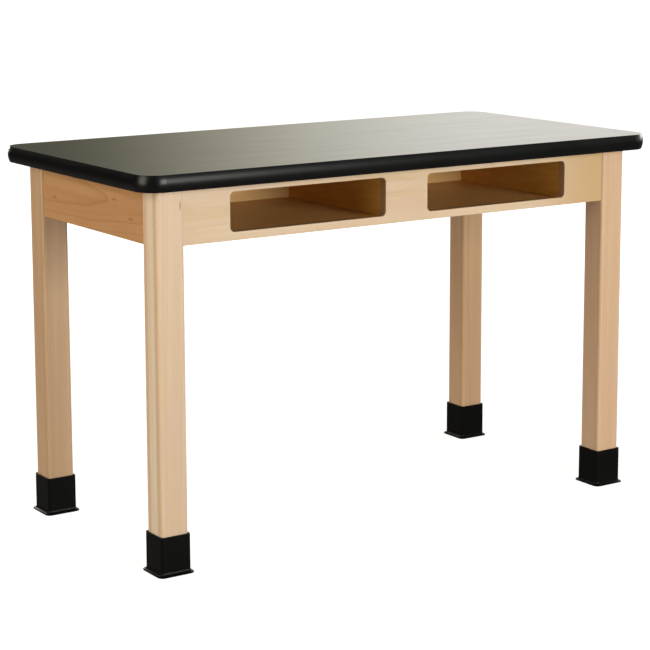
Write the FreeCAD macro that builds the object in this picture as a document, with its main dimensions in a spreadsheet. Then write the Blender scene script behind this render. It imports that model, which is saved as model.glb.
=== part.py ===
import FreeCAD, Part
import Sketcher
import math
import os
import re

# Two-student science table: a laminate top with a bulged vinyl edge on a square-legged maple
# frame, with two open book compartments behind the front apron and boots over levelling glides.
# Frame: X along the table, Y from front to back, Z up, origin on the floor under the centre.

V = FreeCAD.Vector
UP = V(0, 0, 1)
# How far apart two places may be and still count as one.
TINY = 1e-4

# Driving dimensions, in millimetres.
SIZES = {
    # The whole table
    "top_length": 1219.2,
    "top_depth": 609.6,
    "table_height": 762.0,
    "end_overhang": 44.45,
    "side_overhang": 38.1,
    # Table top: laminate, core and backer, with a kerf round the edge of the core
    "top_thickness": 31.75,
    "laminate_thickness": 1.0,
    "backer_thickness": 0.7,
    "top_corner_round": 44.45,
    "kerf_side_gap": 0.1,
    "kerf_end_gap": 0.8,
    # Vinyl edge moulding: a bulged head on a barbed tang
    "moulding_bulge": 4.5,
    "moulding_lip": 0.8,
    "moulding_gap": 0.1,
    "tang_depth": 9.5,
    "tang_thickness": 1.6,
    "barb_height": 0.4,
    "barb_pitch": 2.8,
    "barb_slope": 2.0,
    # Legs
    "leg_width": 57.15,
    "leg_round": 6.35,
    "leg_flat": 8.0,
    # Aprons
    "apron_height": 107.95,
    "apron_thickness": 19.05,
    "apron_recess": 4.8,
    "apron_edge_round": 1.2,
    # Compartment openings in the front apron
    "opening_spacing": 101.6,
    "opening_drop": 15.875,
    "opening_sill": 15.875,
    "opening_round": 9.5,
    "opening_edge_round": 1.2,
    # Book compartments
    "compartment_rear_gap": 130.1,
    "compartment_board": 12.7,
    "wall_setback": 6.35,
    "wall_bracket_gap": 20.25,
    "floor_thickness": 6.35,
    "floor_drop": 5.0,
    "groove_depth": 5.0,
    "groove_gap": 0.15,
    # Cleats and the screws that hold the top down
    "cleat_width": 19.05,
    "cleat_length": 203.2,
    "cleat_edge_cut": 2.0,
    "rear_cleat_place": 254.0,
    "cleat_screw_reach": 76.2,
    "cleat_screw_length": 38.1,
    "cleat_screw_diameter": 4.8,
    "cleat_screw_head": 9.5,
    "cleat_screw_head_height": 2.8,
    "cleat_screw_point": 6.0,
    "screw_hole_gap": 0.1,
    "screw_end_gap": 1.0,
    # Corner brackets, bent from plate, with their lips in saw kerfs in the aprons
    "bracket_leg_gap": 4.5,
    "bracket_flange": 20.0,
    "bracket_lip": 6.35,
    "bracket_thickness": 2.5,
    "bracket_height": 69.85,
    "bracket_bend": 2.0,
    "bracket_corner_cut": 3.0,
    "bracket_slot_gap": 0.25,
    "bracket_screw_spacing": 44.45,
    "bracket_screw_length": 15.9,
    "bracket_screw_diameter": 4.2,
    "bracket_screw_head": 8.0,
    "bracket_screw_head_height": 2.4,
    "bracket_screw_point": 4.0,
    # Hanger bolts, nuts and washers
    "bolt_diameter": 7.94,
    "bolt_spacing": 34.925,
    "bolt_reach": 50.0,
    "bolt_tail": 5.0,
    "bolt_end_cut": 1.0,
    "bolt_hole_gap": 0.4,
    "bolt_bore_gap": 0.1,
    "bolt_end_gap": 2.0,
    "nut_width": 12.7,
    "nut_thickness": 6.75,
    "nut_bore_gap": 0.1,
    "washer_diameter": 22.2,
    "washer_thickness": 1.65,
    # Threaded inserts in the bottom ends of the legs
    "insert_flange": 25.4,
    "insert_flange_thickness": 1.6,
    "insert_barrel": 12.7,
    "insert_barrel_length": 15.9,
    "insert_bore_gap": 0.1,
    "thread_gap": 0.05,
    # Levelling glides: a ball-ended stem with a hexagon collar in a swivel pad
    "stem_diameter": 9.525,
    "stem_length": 54.0,
    "stem_end_cut": 1.2,
    "stem_end_gap": 4.5,
    "collar_width": 14.3,
    "collar_height": 5.0,
    "collar_gap": 1.9,
    "stop_gap": 0.3,
    "ball_diameter": 10.0,
    "ball_gap": 0.2,
    "neck_step": 3.0,
    "pad_diameter": 38.1,
    "pad_web": 1.6,
    "mouth_rise": 2.8,
    "pad_rim": 3.6,
    "pad_hub": 18.0,
    "pad_edge_round": 1.0,
    # Boots: a sleeve on the leg with a coved flange on the floor
    "boot_height": 76.2,
    "boot_wall": 2.825,
    "boot_fit": 0.35,
    "boot_corner_round": 5.0,
    "boot_inner_round": 4.0,
    "boot_rim_round": 0.8,
    "flange_reach": 6.35,
    "flange_edge": 2.0,
    "flange_lip": 0.35,
    # One overrun for every cut that passes out of a solid
    "overrun": 2.0,
}

# Places worked out from the driving dimensions, as expressions of their names.
UNDERSIDE = "(table_height - top_thickness)"
CORE_X = "(top_length / 2 - moulding_bulge - moulding_gap)"
CORE_Y = "(top_depth / 2 - moulding_bulge - moulding_gap)"
CORE_ROUND = "(top_corner_round - moulding_bulge - moulding_gap)"
CORE_THICKNESS = "(top_thickness - laminate_thickness - backer_thickness)"
KERF_WIDTH = "(tang_thickness + 2 * barb_height + 2 * kerf_side_gap)"
KERF_DEPTH = "(tang_depth - moulding_gap + kerf_end_gap)"
LEG_X = "(top_length / 2 - end_overhang - leg_width / 2)"
LEG_Y = "(top_depth / 2 - side_overhang - leg_width / 2)"
APRON_OUTER_X = f"({LEG_X} + leg_width / 2 - apron_recess)"
APRON_OUTER_Y = f"({LEG_Y} + leg_width / 2 - apron_recess)"
APRON_INNER_X = f"({APRON_OUTER_X} - apron_thickness)"
APRON_INNER_Y = f"({APRON_OUTER_Y} - apron_thickness)"
LONG_APRON = f"(2 * {LEG_X} - leg_width)"
SHORT_APRON = f"(2 * {LEG_Y} - leg_width)"
APRON_BOTTOM = f"({UNDERSIDE} - apron_height)"
OPENING_HEIGHT = "(apron_height - opening_drop - opening_sill)"
FLOOR_TOP = "(opening_sill - floor_drop)"
COMPARTMENT_BACK = f"({APRON_INNER_Y} - compartment_rear_gap - compartment_board)"
COMPARTMENT_DEPTH = f"({COMPARTMENT_BACK} + {APRON_INNER_Y})"
GROOVE_FIT = "(groove_depth - groove_gap)"
LEG_CORNER = "(leg_width - apron_recess - apron_thickness)"
BRACKET_REACH = f"(2 * ({LEG_CORNER} + bracket_leg_gap))"
LIP_PLACE = f"({BRACKET_REACH} + bracket_flange)"
FLANGE_SCREW = f"({BRACKET_REACH} + bracket_flange / 2)"
WALL_OUTSIDE = f"({APRON_INNER_X} - {LIP_PLACE} - wall_bracket_gap)"
OPENING_END = f"({WALL_OUTSIDE} - compartment_board - wall_setback)"
OPENING_WIDTH = f"({OPENING_END} - opening_spacing / 2)"
OPENING_MIDDLE = f"(({OPENING_END} + opening_spacing / 2) / 2)"
COMPARTMENT_WIDTH = f"({OPENING_WIDTH} + 2 * wall_setback)"
BOLT_SHIFT = "(leg_width / 2 + bracket_leg_gap)"
BRACKET_HEIGHT_PLACE = f"({UNDERSIDE} - apron_height / 2)"
BALL_HEIGHT = "(pad_web + ball_gap + ball_diameter / 2)"
PAD_HEIGHT = f"({BALL_HEIGHT} + mouth_rise)"
COLLAR_BOTTOM = f"({PAD_HEIGHT} + collar_gap)"
COLLAR_TOP = f"({COLLAR_BOTTOM} + collar_height)"
INSERT_BOTTOM = f"({COLLAR_TOP} + stop_gap)"
LEG_BOTTOM = f"({INSERT_BOTTOM} + insert_flange_thickness)"
STEM_TOP = f"({COLLAR_TOP} + stem_length)"
BOOT_HALF = "(leg_width / 2 + boot_fit + boot_wall)"

# The four corners: name, side along X, side along Y, turn about Z that brings the inner corner round.
CORNERS = [
    ("front_left", -1, -1, 0),
    ("front_right", 1, -1, 90),
    ("back_right", 1, 1, 180),
    ("back_left", -1, 1, 270),
]
SIDES = [("left", -1), ("right", 1)]
BARBS = 3
# How wide a screw head's flat crown is, and how high its upright edge.
HEAD_CROWN_SHARE = 0.64
HEAD_EDGE_SHARE = 0.4

doc = FreeCAD.newDocument("science_lab_table")
sheet = doc.addObject("Spreadsheet::Sheet", "dims")
for row, (size_name, size_value) in enumerate(SIZES.items(), start=1):
    sheet.set(f"A{row}", size_name)
    sheet.set(f"B{row}", str(size_value))
    sheet.setAlias(f"B{row}", size_name)
doc.recompute()

nodes = []


def bound(expression):
    """The expression with each size's name pointing at its cell of the sheet."""
    return re.sub(r"\b[a-z_]+\b", lambda m: f"dims.{m[0]}" if m[0] in SIZES else m[0], expression)


def number(expression):
    """The value of an expression of named sizes."""
    return float(sheet.evalExpression(bound(expression)))


def bind(thing, field, expression):
    """Ties one property of an object to an expression of named sizes."""
    thing.setExpression(field, bound(expression))


def place(thing, x="0", y="0", z="0", rotation=FreeCAD.Rotation()):
    """Puts an object at a place given in named sizes, turned by a fixed rotation."""
    thing.Placement = FreeCAD.Placement(V(number(x), number(y), number(z)), rotation)
    bind(thing, "Placement.Base.x", x)
    bind(thing, "Placement.Base.y", y)
    bind(thing, "Placement.Base.z", z)


def turn(degrees):
    return FreeCAD.Rotation(UP, degrees)


def new_body(label):
    body = doc.addObject("PartDesign::Body", label)
    body.Label = label
    return body


def sub_part(thing):
    """Keeps an object as one sub-part of the table."""
    nodes.append(thing)
    return thing


def new_sketch(body, role, x="0", y="0", z="0", rotation=FreeCAD.Rotation()):
    """An empty sketch on an origin plane of its body, shifted in that plane's own axes."""
    sketch = body.newObject("Sketcher::SketchObject", f"{body.Name}_sketch")
    plane = [feature for feature in body.Origin.OriginFeatures if feature.Role == role][0]
    sketch.AttachmentSupport = (plane, [""])
    sketch.MapMode = "FlatFace"
    sketch.AttachmentOffset = FreeCAD.Placement(V(number(x), number(y), number(z)), rotation)
    bind(sketch, "AttachmentOffset.Base.x", x)
    bind(sketch, "AttachmentOffset.Base.y", y)
    bind(sketch, "AttachmentOffset.Base.z", z)
    return sketch


def hold(sketch, curve, end, x, y):
    """Fixes one end of a sketch curve at a place given in named sizes."""
    for kind, expression in (("DistanceX", x), ("DistanceY", y)):
        index = sketch.addConstraint(Sketcher.Constraint(kind, -1, 1, curve, end, number(expression)))
        bind(sketch, f"Constraints[{index}]", expression)


def outline(sketch, points):
    """A closed outline of straight lines through points given in named sizes."""
    corners = [V(number(x), number(y), 0) for x, y in points]
    ends = corners[1:] + corners[:1]
    lines = [sketch.addGeometry(Part.LineSegment(a, b), False) for a, b in zip(corners, ends)]
    for line, following in zip(lines, lines[1:] + lines[:1]):
        sketch.addConstraint(Sketcher.Constraint("Coincident", line, 2, following, 1))
    for line, (x, y) in zip(lines, points):
        hold(sketch, line, 1, x, y)
    return lines


def rectangle(sketch, low_x, low_y, high_x, high_y):
    outline(sketch, [(low_x, low_y), (high_x, low_y), (high_x, high_y), (low_x, high_y)])


def rounded_rectangle(sketch, half_x, half_y, radius, middle_x="0", middle_y="0"):
    """A closed rectangle with round corners, its first side split at the middle."""
    right, left = f"{middle_x} + ({half_x})", f"{middle_x} - ({half_x})"
    top, bottom = f"{middle_y} + ({half_y})", f"{middle_y} - ({half_y})"
    near_right, near_left = f"{right} - ({radius})", f"{left} + ({radius})"
    near_top, near_bottom = f"{top} - ({radius})", f"{bottom} + ({radius})"
    sides = [
        ((middle_x, bottom), (near_right, bottom)),
        ((right, near_bottom), (right, near_top)),
        ((near_right, top), (near_left, top)),
        ((left, near_top), (left, near_bottom)),
        ((near_left, bottom), (middle_x, bottom)),
    ]
    centres = [
        (near_right, near_bottom),
        (near_right, near_top),
        (near_left, near_top),
        (near_left, near_bottom),
    ]
    curves = []
    for index, (start, end) in enumerate(sides):
        a, b = (V(number(x), number(y), 0) for x, y in (start, end))
        curves.append(sketch.addGeometry(Part.LineSegment(a, b), False))
        hold(sketch, curves[-1], 1, *start)
        if index < len(centres):
            hold(sketch, curves[-1], 2, *end)
            middle = V(number(centres[index][0]), number(centres[index][1]), 0)
            first = math.radians(90 * index - 90)
            circle = Part.Circle(middle, UP, number(radius))
            curves.append(sketch.addGeometry(Part.ArcOfCircle(circle, first, first + math.pi / 2), False))
    for index, curve in enumerate(curves):
        following = curves[(index + 1) % len(curves)]
        into_arc = index % 2 == 0 and index < len(curves) - 1
        kind = "Tangent" if into_arc else "Coincident"
        sketch.addConstraint(Sketcher.Constraint(kind, curve, 2, following, 1))


def circle(sketch, diameter, x="0", y="0"):
    curve = sketch.addGeometry(Part.Circle(V(number(x), number(y), 0), UP, number(diameter) / 2), False)
    hold(sketch, curve, 3, x, y)
    index = sketch.addConstraint(Sketcher.Constraint("Diameter", curve, number(diameter)))
    bind(sketch, f"Constraints[{index}]", diameter)


def hexagon(sketch, across_flats):
    """A hexagon about the sketch's origin, with two corners on the X axis."""
    reach = f"({across_flats}) / sqrt(3)"
    outline(sketch, [(f"{reach} * cos({60 * k} deg)", f"{reach} * sin({60 * k} deg)") for k in range(6)])


def pad(body, sketch, length, reverse=False, both_ways=False):
    """Extrudes a sketch along its normal, or both ways from its plane."""
    feature = body.newObject("PartDesign::Pad", f"{body.Name}_pad")
    feature.Profile = sketch
    feature.Reversed = reverse
    feature.SideType = "Symmetric" if both_ways else "One side"
    bind(feature, "Length", length)
    doc.recompute()
    return feature


def cut(body, sketch, depth, reverse=False, both_ways=False):
    """Cuts a sketch against its normal, or both ways from its plane, and checks that wood went."""
    before = body.Shape.Volume
    feature = body.newObject("PartDesign::Pocket", f"{body.Name}_cut")
    feature.Profile = sketch
    feature.Reversed = reverse
    feature.SideType = "Symmetric" if both_ways else "One side"
    bind(feature, "Length", depth)
    doc.recompute()
    if not body.Shape.Volume < before:
        raise ValueError(f"{body.Label}: a cut removed nothing")
    return feature


def revolve(body, sketch):
    """Turns a half profile, drawn on the XZ plane, about the Z axis."""
    feature = body.newObject("PartDesign::Revolution", f"{body.Name}_turning")
    feature.Profile = sketch
    feature.ReferenceAxis = (sketch, ["V_Axis"])
    feature.Angle = 360
    doc.recompute()
    return feature


def dress(body, kind, chosen, size):
    """A fillet or chamfer on the edges of the body's last feature that the test picks."""
    base = body.Tip
    edges = [f"Edge{i}" for i, edge in enumerate(base.Shape.Edges, start=1) if chosen(edge)]
    if not edges:
        raise ValueError(f"{body.Label}: no edge to dress")
    feature = body.newObject(f"PartDesign::{kind}", f"{body.Name}_{kind.lower()}")
    feature.Base = (base, edges)
    bind(feature, "Radius" if kind == "Fillet" else "Size", size)
    doc.recompute()
    return feature


def upright(edge):
    return edge.Curve.TypeId == "Part::GeomLine" and abs(edge.tangentAt(edge.FirstParameter).z) > 1 - TINY


def within(edge, axis, value):
    """Whether a whole edge lies in the plane where that axis has that value."""
    low, high = getattr(edge.BoundBox, f"{axis}Min"), getattr(edge.BoundBox, f"{axis}Max")
    return max(abs(low - value), abs(high - value)) < TINY


def group(label, master, places):
    """One sub-part of several alike solids: (x, y, z, rotation) for each."""
    compound = doc.addObject("Part::Compound", label)
    compound.Label = label
    links = []
    for x, y, z, rotation in places:
        link = doc.addObject("App::Link", f"{label}_place")
        link.setLink(master)
        place(link, x, y, z, rotation)
        links.append(link)
    compound.Links = links
    doc.recompute()
    return sub_part(compound)


def cleat_screw_places(run, cleats):
    """Where the screws of a set of cleats stand in plan; run is the cleats' direction."""
    spots = []
    for x, y in cleats:
        for sign in ("-", "+"):
            reach = f" {sign} cleat_screw_reach"
            spots.append((x + reach, y) if run == "x" else (x, y + reach))
    return spots


# Where the cleats lie under the top, in plan.
REAR_CLEATS = [(f"{sign}rear_cleat_place", f"{APRON_INNER_Y} - cleat_width / 2") for sign in ("-", "")]
END_CLEATS = [(f"{sign}({APRON_INNER_X} - cleat_width / 2)", "0") for sign in ("-", "")]
WALL_FAR_SIDE = f"({COMPARTMENT_WIDTH} / 2 + compartment_board + cleat_width / 2)"
WALL_CLEATS = [
    (f"{side}{OPENING_MIDDLE} {wall} {WALL_FAR_SIDE}", f"-{APRON_INNER_Y} + {COMPARTMENT_DEPTH} / 2")
    for side in ("-", "")
    for wall in ("-", "+")
]
TOP_SCREWS = (
    cleat_screw_places("x", REAR_CLEATS)
    + cleat_screw_places("y", END_CLEATS)
    + cleat_screw_places("y", WALL_CLEATS)
)


def sheet_layer(label, bottom, thickness):
    """One layer of the top, with the core's outline."""
    body = new_body(label)
    sketch = new_sketch(body, "XY_Plane")
    rounded_rectangle(sketch, CORE_X, CORE_Y, CORE_ROUND)
    pad(body, sketch, thickness)
    place(body, z=bottom)
    return sub_part(body)


def screw_holes(body, depth):
    """Holes for the top's screws, from the bottom face up."""
    sketch = new_sketch(body, "XY_Plane")
    for x, y in TOP_SCREWS:
        circle(sketch, "cleat_screw_diameter + 2 * screw_hole_gap", x, y)
    cut(body, sketch, depth, reverse=True)


def make_top():
    """Laminate, core and backer. The core is kerfed for the moulding's tang."""
    sheet_layer("top_laminate", "table_height - laminate_thickness", "laminate_thickness")
    backer = sheet_layer("top_backer", UNDERSIDE, "backer_thickness")
    screw_holes(backer, "backer_thickness")
    core = sheet_layer("top_core", f"{UNDERSIDE} + backer_thickness", CORE_THICKNESS)
    screw_holes(core, "cleat_screw_length - cleat_width - backer_thickness + screw_end_gap")
    kerf = new_sketch(core, "XY_Plane", z="top_thickness / 2 - backer_thickness")
    for shift in ("+ overrun", f"- {KERF_DEPTH}"):
        rounded_rectangle(kerf, f"{CORE_X} {shift}", f"{CORE_Y} {shift}", f"{CORE_ROUND} {shift}")
    cut(core, kerf, KERF_WIDTH, both_ways=True)


def make_moulding():
    """The vinyl edge: a D-shaped head with a tang of three barbs, swept round the top."""
    body = new_body("edge_moulding")
    spine = new_sketch(body, "XY_Plane")
    reach_x, reach_y = "top_length / 2 - moulding_bulge", "top_depth / 2 - moulding_bulge"
    rounded_rectangle(spine, reach_x, reach_y, "top_corner_round - moulding_bulge")
    profile = new_sketch(body, "YZ_Plane")
    face = f"(-({reach_y}))"
    half = "top_thickness / 2"
    points = [(f"{face} - moulding_lip", half), (face, half)]
    tang = [(face, "tang_thickness / 2")]
    for barb in range(BARBS):
        tip = f"{face} + tang_depth - {BARBS - 1 - barb} * barb_pitch"
        tang.append((f"{tip} - barb_slope", "tang_thickness / 2"))
        tang.append((f"{tip} - barb_slope", "tang_thickness / 2 + barb_height"))
        tang.append((tip, "tang_thickness / 2"))
    points += tang + [(x, f"-({y})") for x, y in reversed(tang)]
    points += [(face, f"-{half}"), (f"{face} - moulding_lip", f"-{half}")]
    lines = []
    corners = [V(number(x), number(y), 0) for x, y in points]
    for (x, y), a, b in zip(points, corners, corners[1:]):
        lines.append(profile.addGeometry(Part.LineSegment(a, b), False))
        hold(profile, lines[-1], 1, x, y)
    hold(profile, lines[-1], 2, *points[-1])
    for line, following in zip(lines, lines[1:]):
        profile.addConstraint(Sketcher.Constraint("Coincident", line, 2, following, 1))
    crown = V(number(f"{face} - moulding_bulge"), 0, 0)
    head = profile.addGeometry(Part.Arc(corners[-1], crown, corners[0]), False)
    profile.addConstraint(Sketcher.Constraint("Coincident", head, 1, lines[0], 1))
    profile.addConstraint(Sketcher.Constraint("Coincident", head, 2, lines[-1], 2))
    rise = "(moulding_bulge - moulding_lip)"
    index = profile.addConstraint(Sketcher.Constraint("Radius", head, profile.Geometry[head].Radius))
    bind(profile, f"Constraints[{index}]", f"(({half}) ^ 2 + {rise} ^ 2) / (2 * {rise})")
    pipe = body.newObject("PartDesign::AdditivePipe", "edge_moulding_pipe")
    pipe.Profile = profile
    pipe.Spine = (spine, [f"Edge{i + 1}" for i in range(len(spine.Geometry))])
    place(body, z="table_height - top_thickness / 2")
    doc.recompute()
    sub_part(body)


def make_leg(name, side_x, side_y, angle):
    """A square maple leg, rounded over, with a flat and two bores for the hanger bolts."""
    body = new_body(f"leg_{name}")
    length = f"({UNDERSIDE} - {LEG_BOTTOM})"
    section = new_sketch(body, "XY_Plane")
    half = "leg_width / 2"
    rectangle(section, f"-{half}", f"-{half}", half, half)
    pad(body, section, length)
    dress(body, "Fillet", upright, "leg_round")
    flat = new_sketch(body, "XY_Plane", z=length)
    near, far = f"{half} - 2 * leg_flat", f"{half} + leg_flat"
    outline(flat, [(near, far), (far, near), (far, far)])
    cut(body, flat, "apron_height")
    deep = f"({BOLT_SHIFT} - (bolt_reach + bolt_end_gap) / sqrt(2))"
    bores = new_sketch(body, "XZ_Plane", x=deep, y=f"{length} - apron_height / 2", z=f"-{deep}",
                       rotation=FreeCAD.Rotation(V(0, 1, 0), -45))
    for sign in ("-", ""):
        circle(bores, "bolt_diameter + 2 * bolt_bore_gap", "0", f"{sign}bolt_spacing / 2")
    cut(body, bores, "leg_width")
    seat = new_sketch(body, "XY_Plane")
    circle(seat, "insert_barrel + 2 * insert_bore_gap")
    cut(body, seat, "insert_barrel_length - insert_flange_thickness + insert_bore_gap", reverse=True)
    bore = new_sketch(body, "XY_Plane")
    circle(bore, "stem_diameter + 2 * stem_end_cut")
    cut(body, bore, f"{STEM_TOP} - {LEG_BOTTOM} + stem_end_gap", reverse=True)
    place(body, f"{side_x} * {LEG_X}", f"{side_y} * {LEG_Y}", LEG_BOTTOM, turn(angle))
    sub_part(body)


def make_board(label, length, height, thickness):
    """A board with its outer face on the XZ plane and its thickness along +Y."""
    body = new_body(label)
    sketch = new_sketch(body, "XZ_Plane")
    rectangle(sketch, f"-{length} / 2", "0", f"{length} / 2", height)
    pad(body, sketch, thickness, reverse=True)
    return body


def apron_joinery(body, meeting_face):
    """Saw kerfs for the bracket lips near both ends, and the bracket screws' pilot holes."""
    slots = new_sketch(body, "XY_Plane")
    deep = "apron_thickness - bracket_lip - bracket_slot_gap"
    for sign in ("-", ""):
        ends = [f"{sign}({meeting_face} - {LIP_PLACE} - bracket_slot_gap)",
                f"{sign}({meeting_face} - {LIP_PLACE} + bracket_thickness + bracket_slot_gap)"]
        low, high = ends if sign == "" else reversed(ends)
        rectangle(slots, low, deep, high, "apron_thickness + overrun")
    cut(body, slots, "apron_height + overrun", reverse=True)
    pilots = new_sketch(body, "XZ_Plane", z="-apron_thickness")
    for sign in ("-", ""):
        for step in ("-", "+"):
            circle(pilots, "bracket_screw_diameter + 2 * screw_hole_gap",
                   f"{sign}({meeting_face} - {FLANGE_SCREW})",
                   f"apron_height / 2 {step} bracket_screw_spacing / 2")
    cut(body, pilots, "bracket_screw_length - bracket_thickness + screw_hole_gap", reverse=True)
    dress(body, "Fillet", lambda e: within(e, "Y", 0) and within(e, "Z", 0), "apron_edge_round")


def make_front_apron():
    """The front apron: two round-cornered openings and a groove behind for each floor."""
    body = make_board("front_apron", LONG_APRON, "apron_height", "apron_thickness")
    openings = new_sketch(body, "XZ_Plane")
    for _, side in SIDES:
        rounded_rectangle(openings, f"{OPENING_WIDTH} / 2", f"{OPENING_HEIGHT} / 2", "opening_round",
                          f"{side} * {OPENING_MIDDLE}", f"opening_sill + {OPENING_HEIGHT} / 2")
    cut(body, openings, "apron_thickness + overrun")
    grooves = new_sketch(body, "XZ_Plane", z="-apron_thickness")
    for _, side in SIDES:
        middle = f"{side} * {OPENING_MIDDLE}"
        reach = f"({COMPARTMENT_WIDTH} / 2 + groove_depth)"
        rectangle(grooves, f"{middle} - {reach}", f"{FLOOR_TOP} - floor_thickness - groove_gap",
                  f"{middle} + {reach}", f"{FLOOR_TOP} + groove_gap")
    cut(body, grooves, "groove_depth", reverse=True)
    low, high = number("opening_sill") - TINY, number("apron_height - opening_drop") + TINY
    reach = number(OPENING_END) + TINY

    def round_opening(edge):
        box = edge.BoundBox
        inside = box.ZMin > low and box.ZMax < high and max(-box.XMin, box.XMax) < reach
        return inside and within(edge, "Y", 0)

    dress(body, "Fillet", round_opening, "opening_edge_round")
    apron_joinery(body, APRON_INNER_X)
    place(body, y=f"-{APRON_OUTER_Y}", z=APRON_BOTTOM)
    sub_part(body)


def make_plain_aprons():
    """The rear apron and the two end aprons."""
    rear = make_board("rear_apron", LONG_APRON, "apron_height", "apron_thickness")
    apron_joinery(rear, APRON_INNER_X)
    place(rear, y=APRON_OUTER_Y, z=APRON_BOTTOM, rotation=turn(180))
    sub_part(rear)
    for name, side in SIDES:
        end = make_board(f"{name}_end_apron", SHORT_APRON, "apron_height", "apron_thickness")
        apron_joinery(end, APRON_INNER_Y)
        place(end, f"{side} * {APRON_OUTER_X}", "0", APRON_BOTTOM, turn(90 * side))
        sub_part(end)


def grooved_board(label, length):
    """A compartment board with the floor's groove along its inner face."""
    body = make_board(label, length, "apron_height", "compartment_board")
    groove = new_sketch(body, "XZ_Plane")
    rectangle(groove, f"-{length} / 2 - overrun", f"{FLOOR_TOP} - floor_thickness - groove_gap",
              f"{length} / 2 + overrun", f"{FLOOR_TOP} + groove_gap")
    cut(body, groove, "groove_depth")
    return body


def make_compartment(name, side):
    """Two walls, a back and a floor let into their grooves."""
    middle = f"{side} * {OPENING_MIDDLE}"
    back = grooved_board(f"{name}_compartment_back", COMPARTMENT_WIDTH)
    place(back, middle, COMPARTMENT_BACK, APRON_BOTTOM)
    sub_part(back)
    length = f"({COMPARTMENT_DEPTH} + compartment_board)"
    for wall_name, hand in (("outer", side), ("inner", -side)):
        wall = grooved_board(f"{name}_compartment_{wall_name}_wall", length)
        place(wall, f"{middle} + {hand} * {COMPARTMENT_WIDTH} / 2", f"-{APRON_INNER_Y} + {length} / 2",
              APRON_BOTTOM, turn(-90 * hand))
        sub_part(wall)
    floor = new_body(f"{name}_compartment_floor")
    half = f"({COMPARTMENT_WIDTH} / 2 + {GROOVE_FIT})"
    sketch = new_sketch(floor, "XY_Plane")
    front = f"-{APRON_INNER_Y} - {GROOVE_FIT}"
    rectangle(sketch, f"-{half}", front, half, f"{COMPARTMENT_BACK} + {GROOVE_FIT}")
    pad(floor, sketch, "floor_thickness")
    place(floor, middle, "0", f"{APRON_BOTTOM} + {FLOOR_TOP} - floor_thickness")
    sub_part(floor)


def make_screw(label, size):
    """A pan-head wood screw standing on its head, its seat on the XY plane; size names its sizes."""
    body = new_body(label)
    sketch = new_sketch(body, "XZ_Plane")
    head, low = f"{size}_head / 2", f"-{size}_head_height"
    shank, length = f"{size}_diameter / 2", f"{size}_length"
    outline(sketch, [
        ("0", low),
        (f"{head} * {HEAD_CROWN_SHARE}", low),
        (head, f"{low} * {HEAD_EDGE_SHARE}"),
        (head, "0"),
        (shank, "0"),
        (shank, f"{length} - {size}_point"),
        ("0", length),
    ])
    revolve(body, sketch)
    return body


def make_cleats():
    """Cleats under the top with their screws."""
    cleat = new_body("cleat_pattern")
    sketch = new_sketch(cleat, "XY_Plane")
    rectangle(sketch, "-cleat_length / 2", "-cleat_width / 2", "cleat_length / 2", "cleat_width / 2")
    pad(cleat, sketch, "cleat_width")
    long_edge = number("cleat_length") - TINY
    dress(cleat, "Chamfer", lambda e: within(e, "Z", 0) and e.Length > long_edge, "cleat_edge_cut")
    holes = new_sketch(cleat, "XY_Plane")
    for sign in ("-", ""):
        circle(holes, "cleat_screw_diameter + 2 * screw_hole_gap", f"{sign}cleat_screw_reach")
    cut(cleat, holes, "cleat_width", reverse=True)
    bottom = f"{UNDERSIDE} - cleat_width"
    along = [(x, y, bottom, turn(0)) for x, y in REAR_CLEATS]
    across = [(x, y, bottom, turn(90)) for x, y in END_CLEATS]
    group("apron_cleats", cleat, along + across)
    group("compartment_cleats", cleat, [(x, y, bottom, turn(90)) for x, y in WALL_CLEATS])
    screw = make_screw("cleat_screw_pattern", "cleat_screw")
    group("top_screws", screw, [(x, y, bottom, turn(0)) for x, y in TOP_SCREWS])


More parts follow.
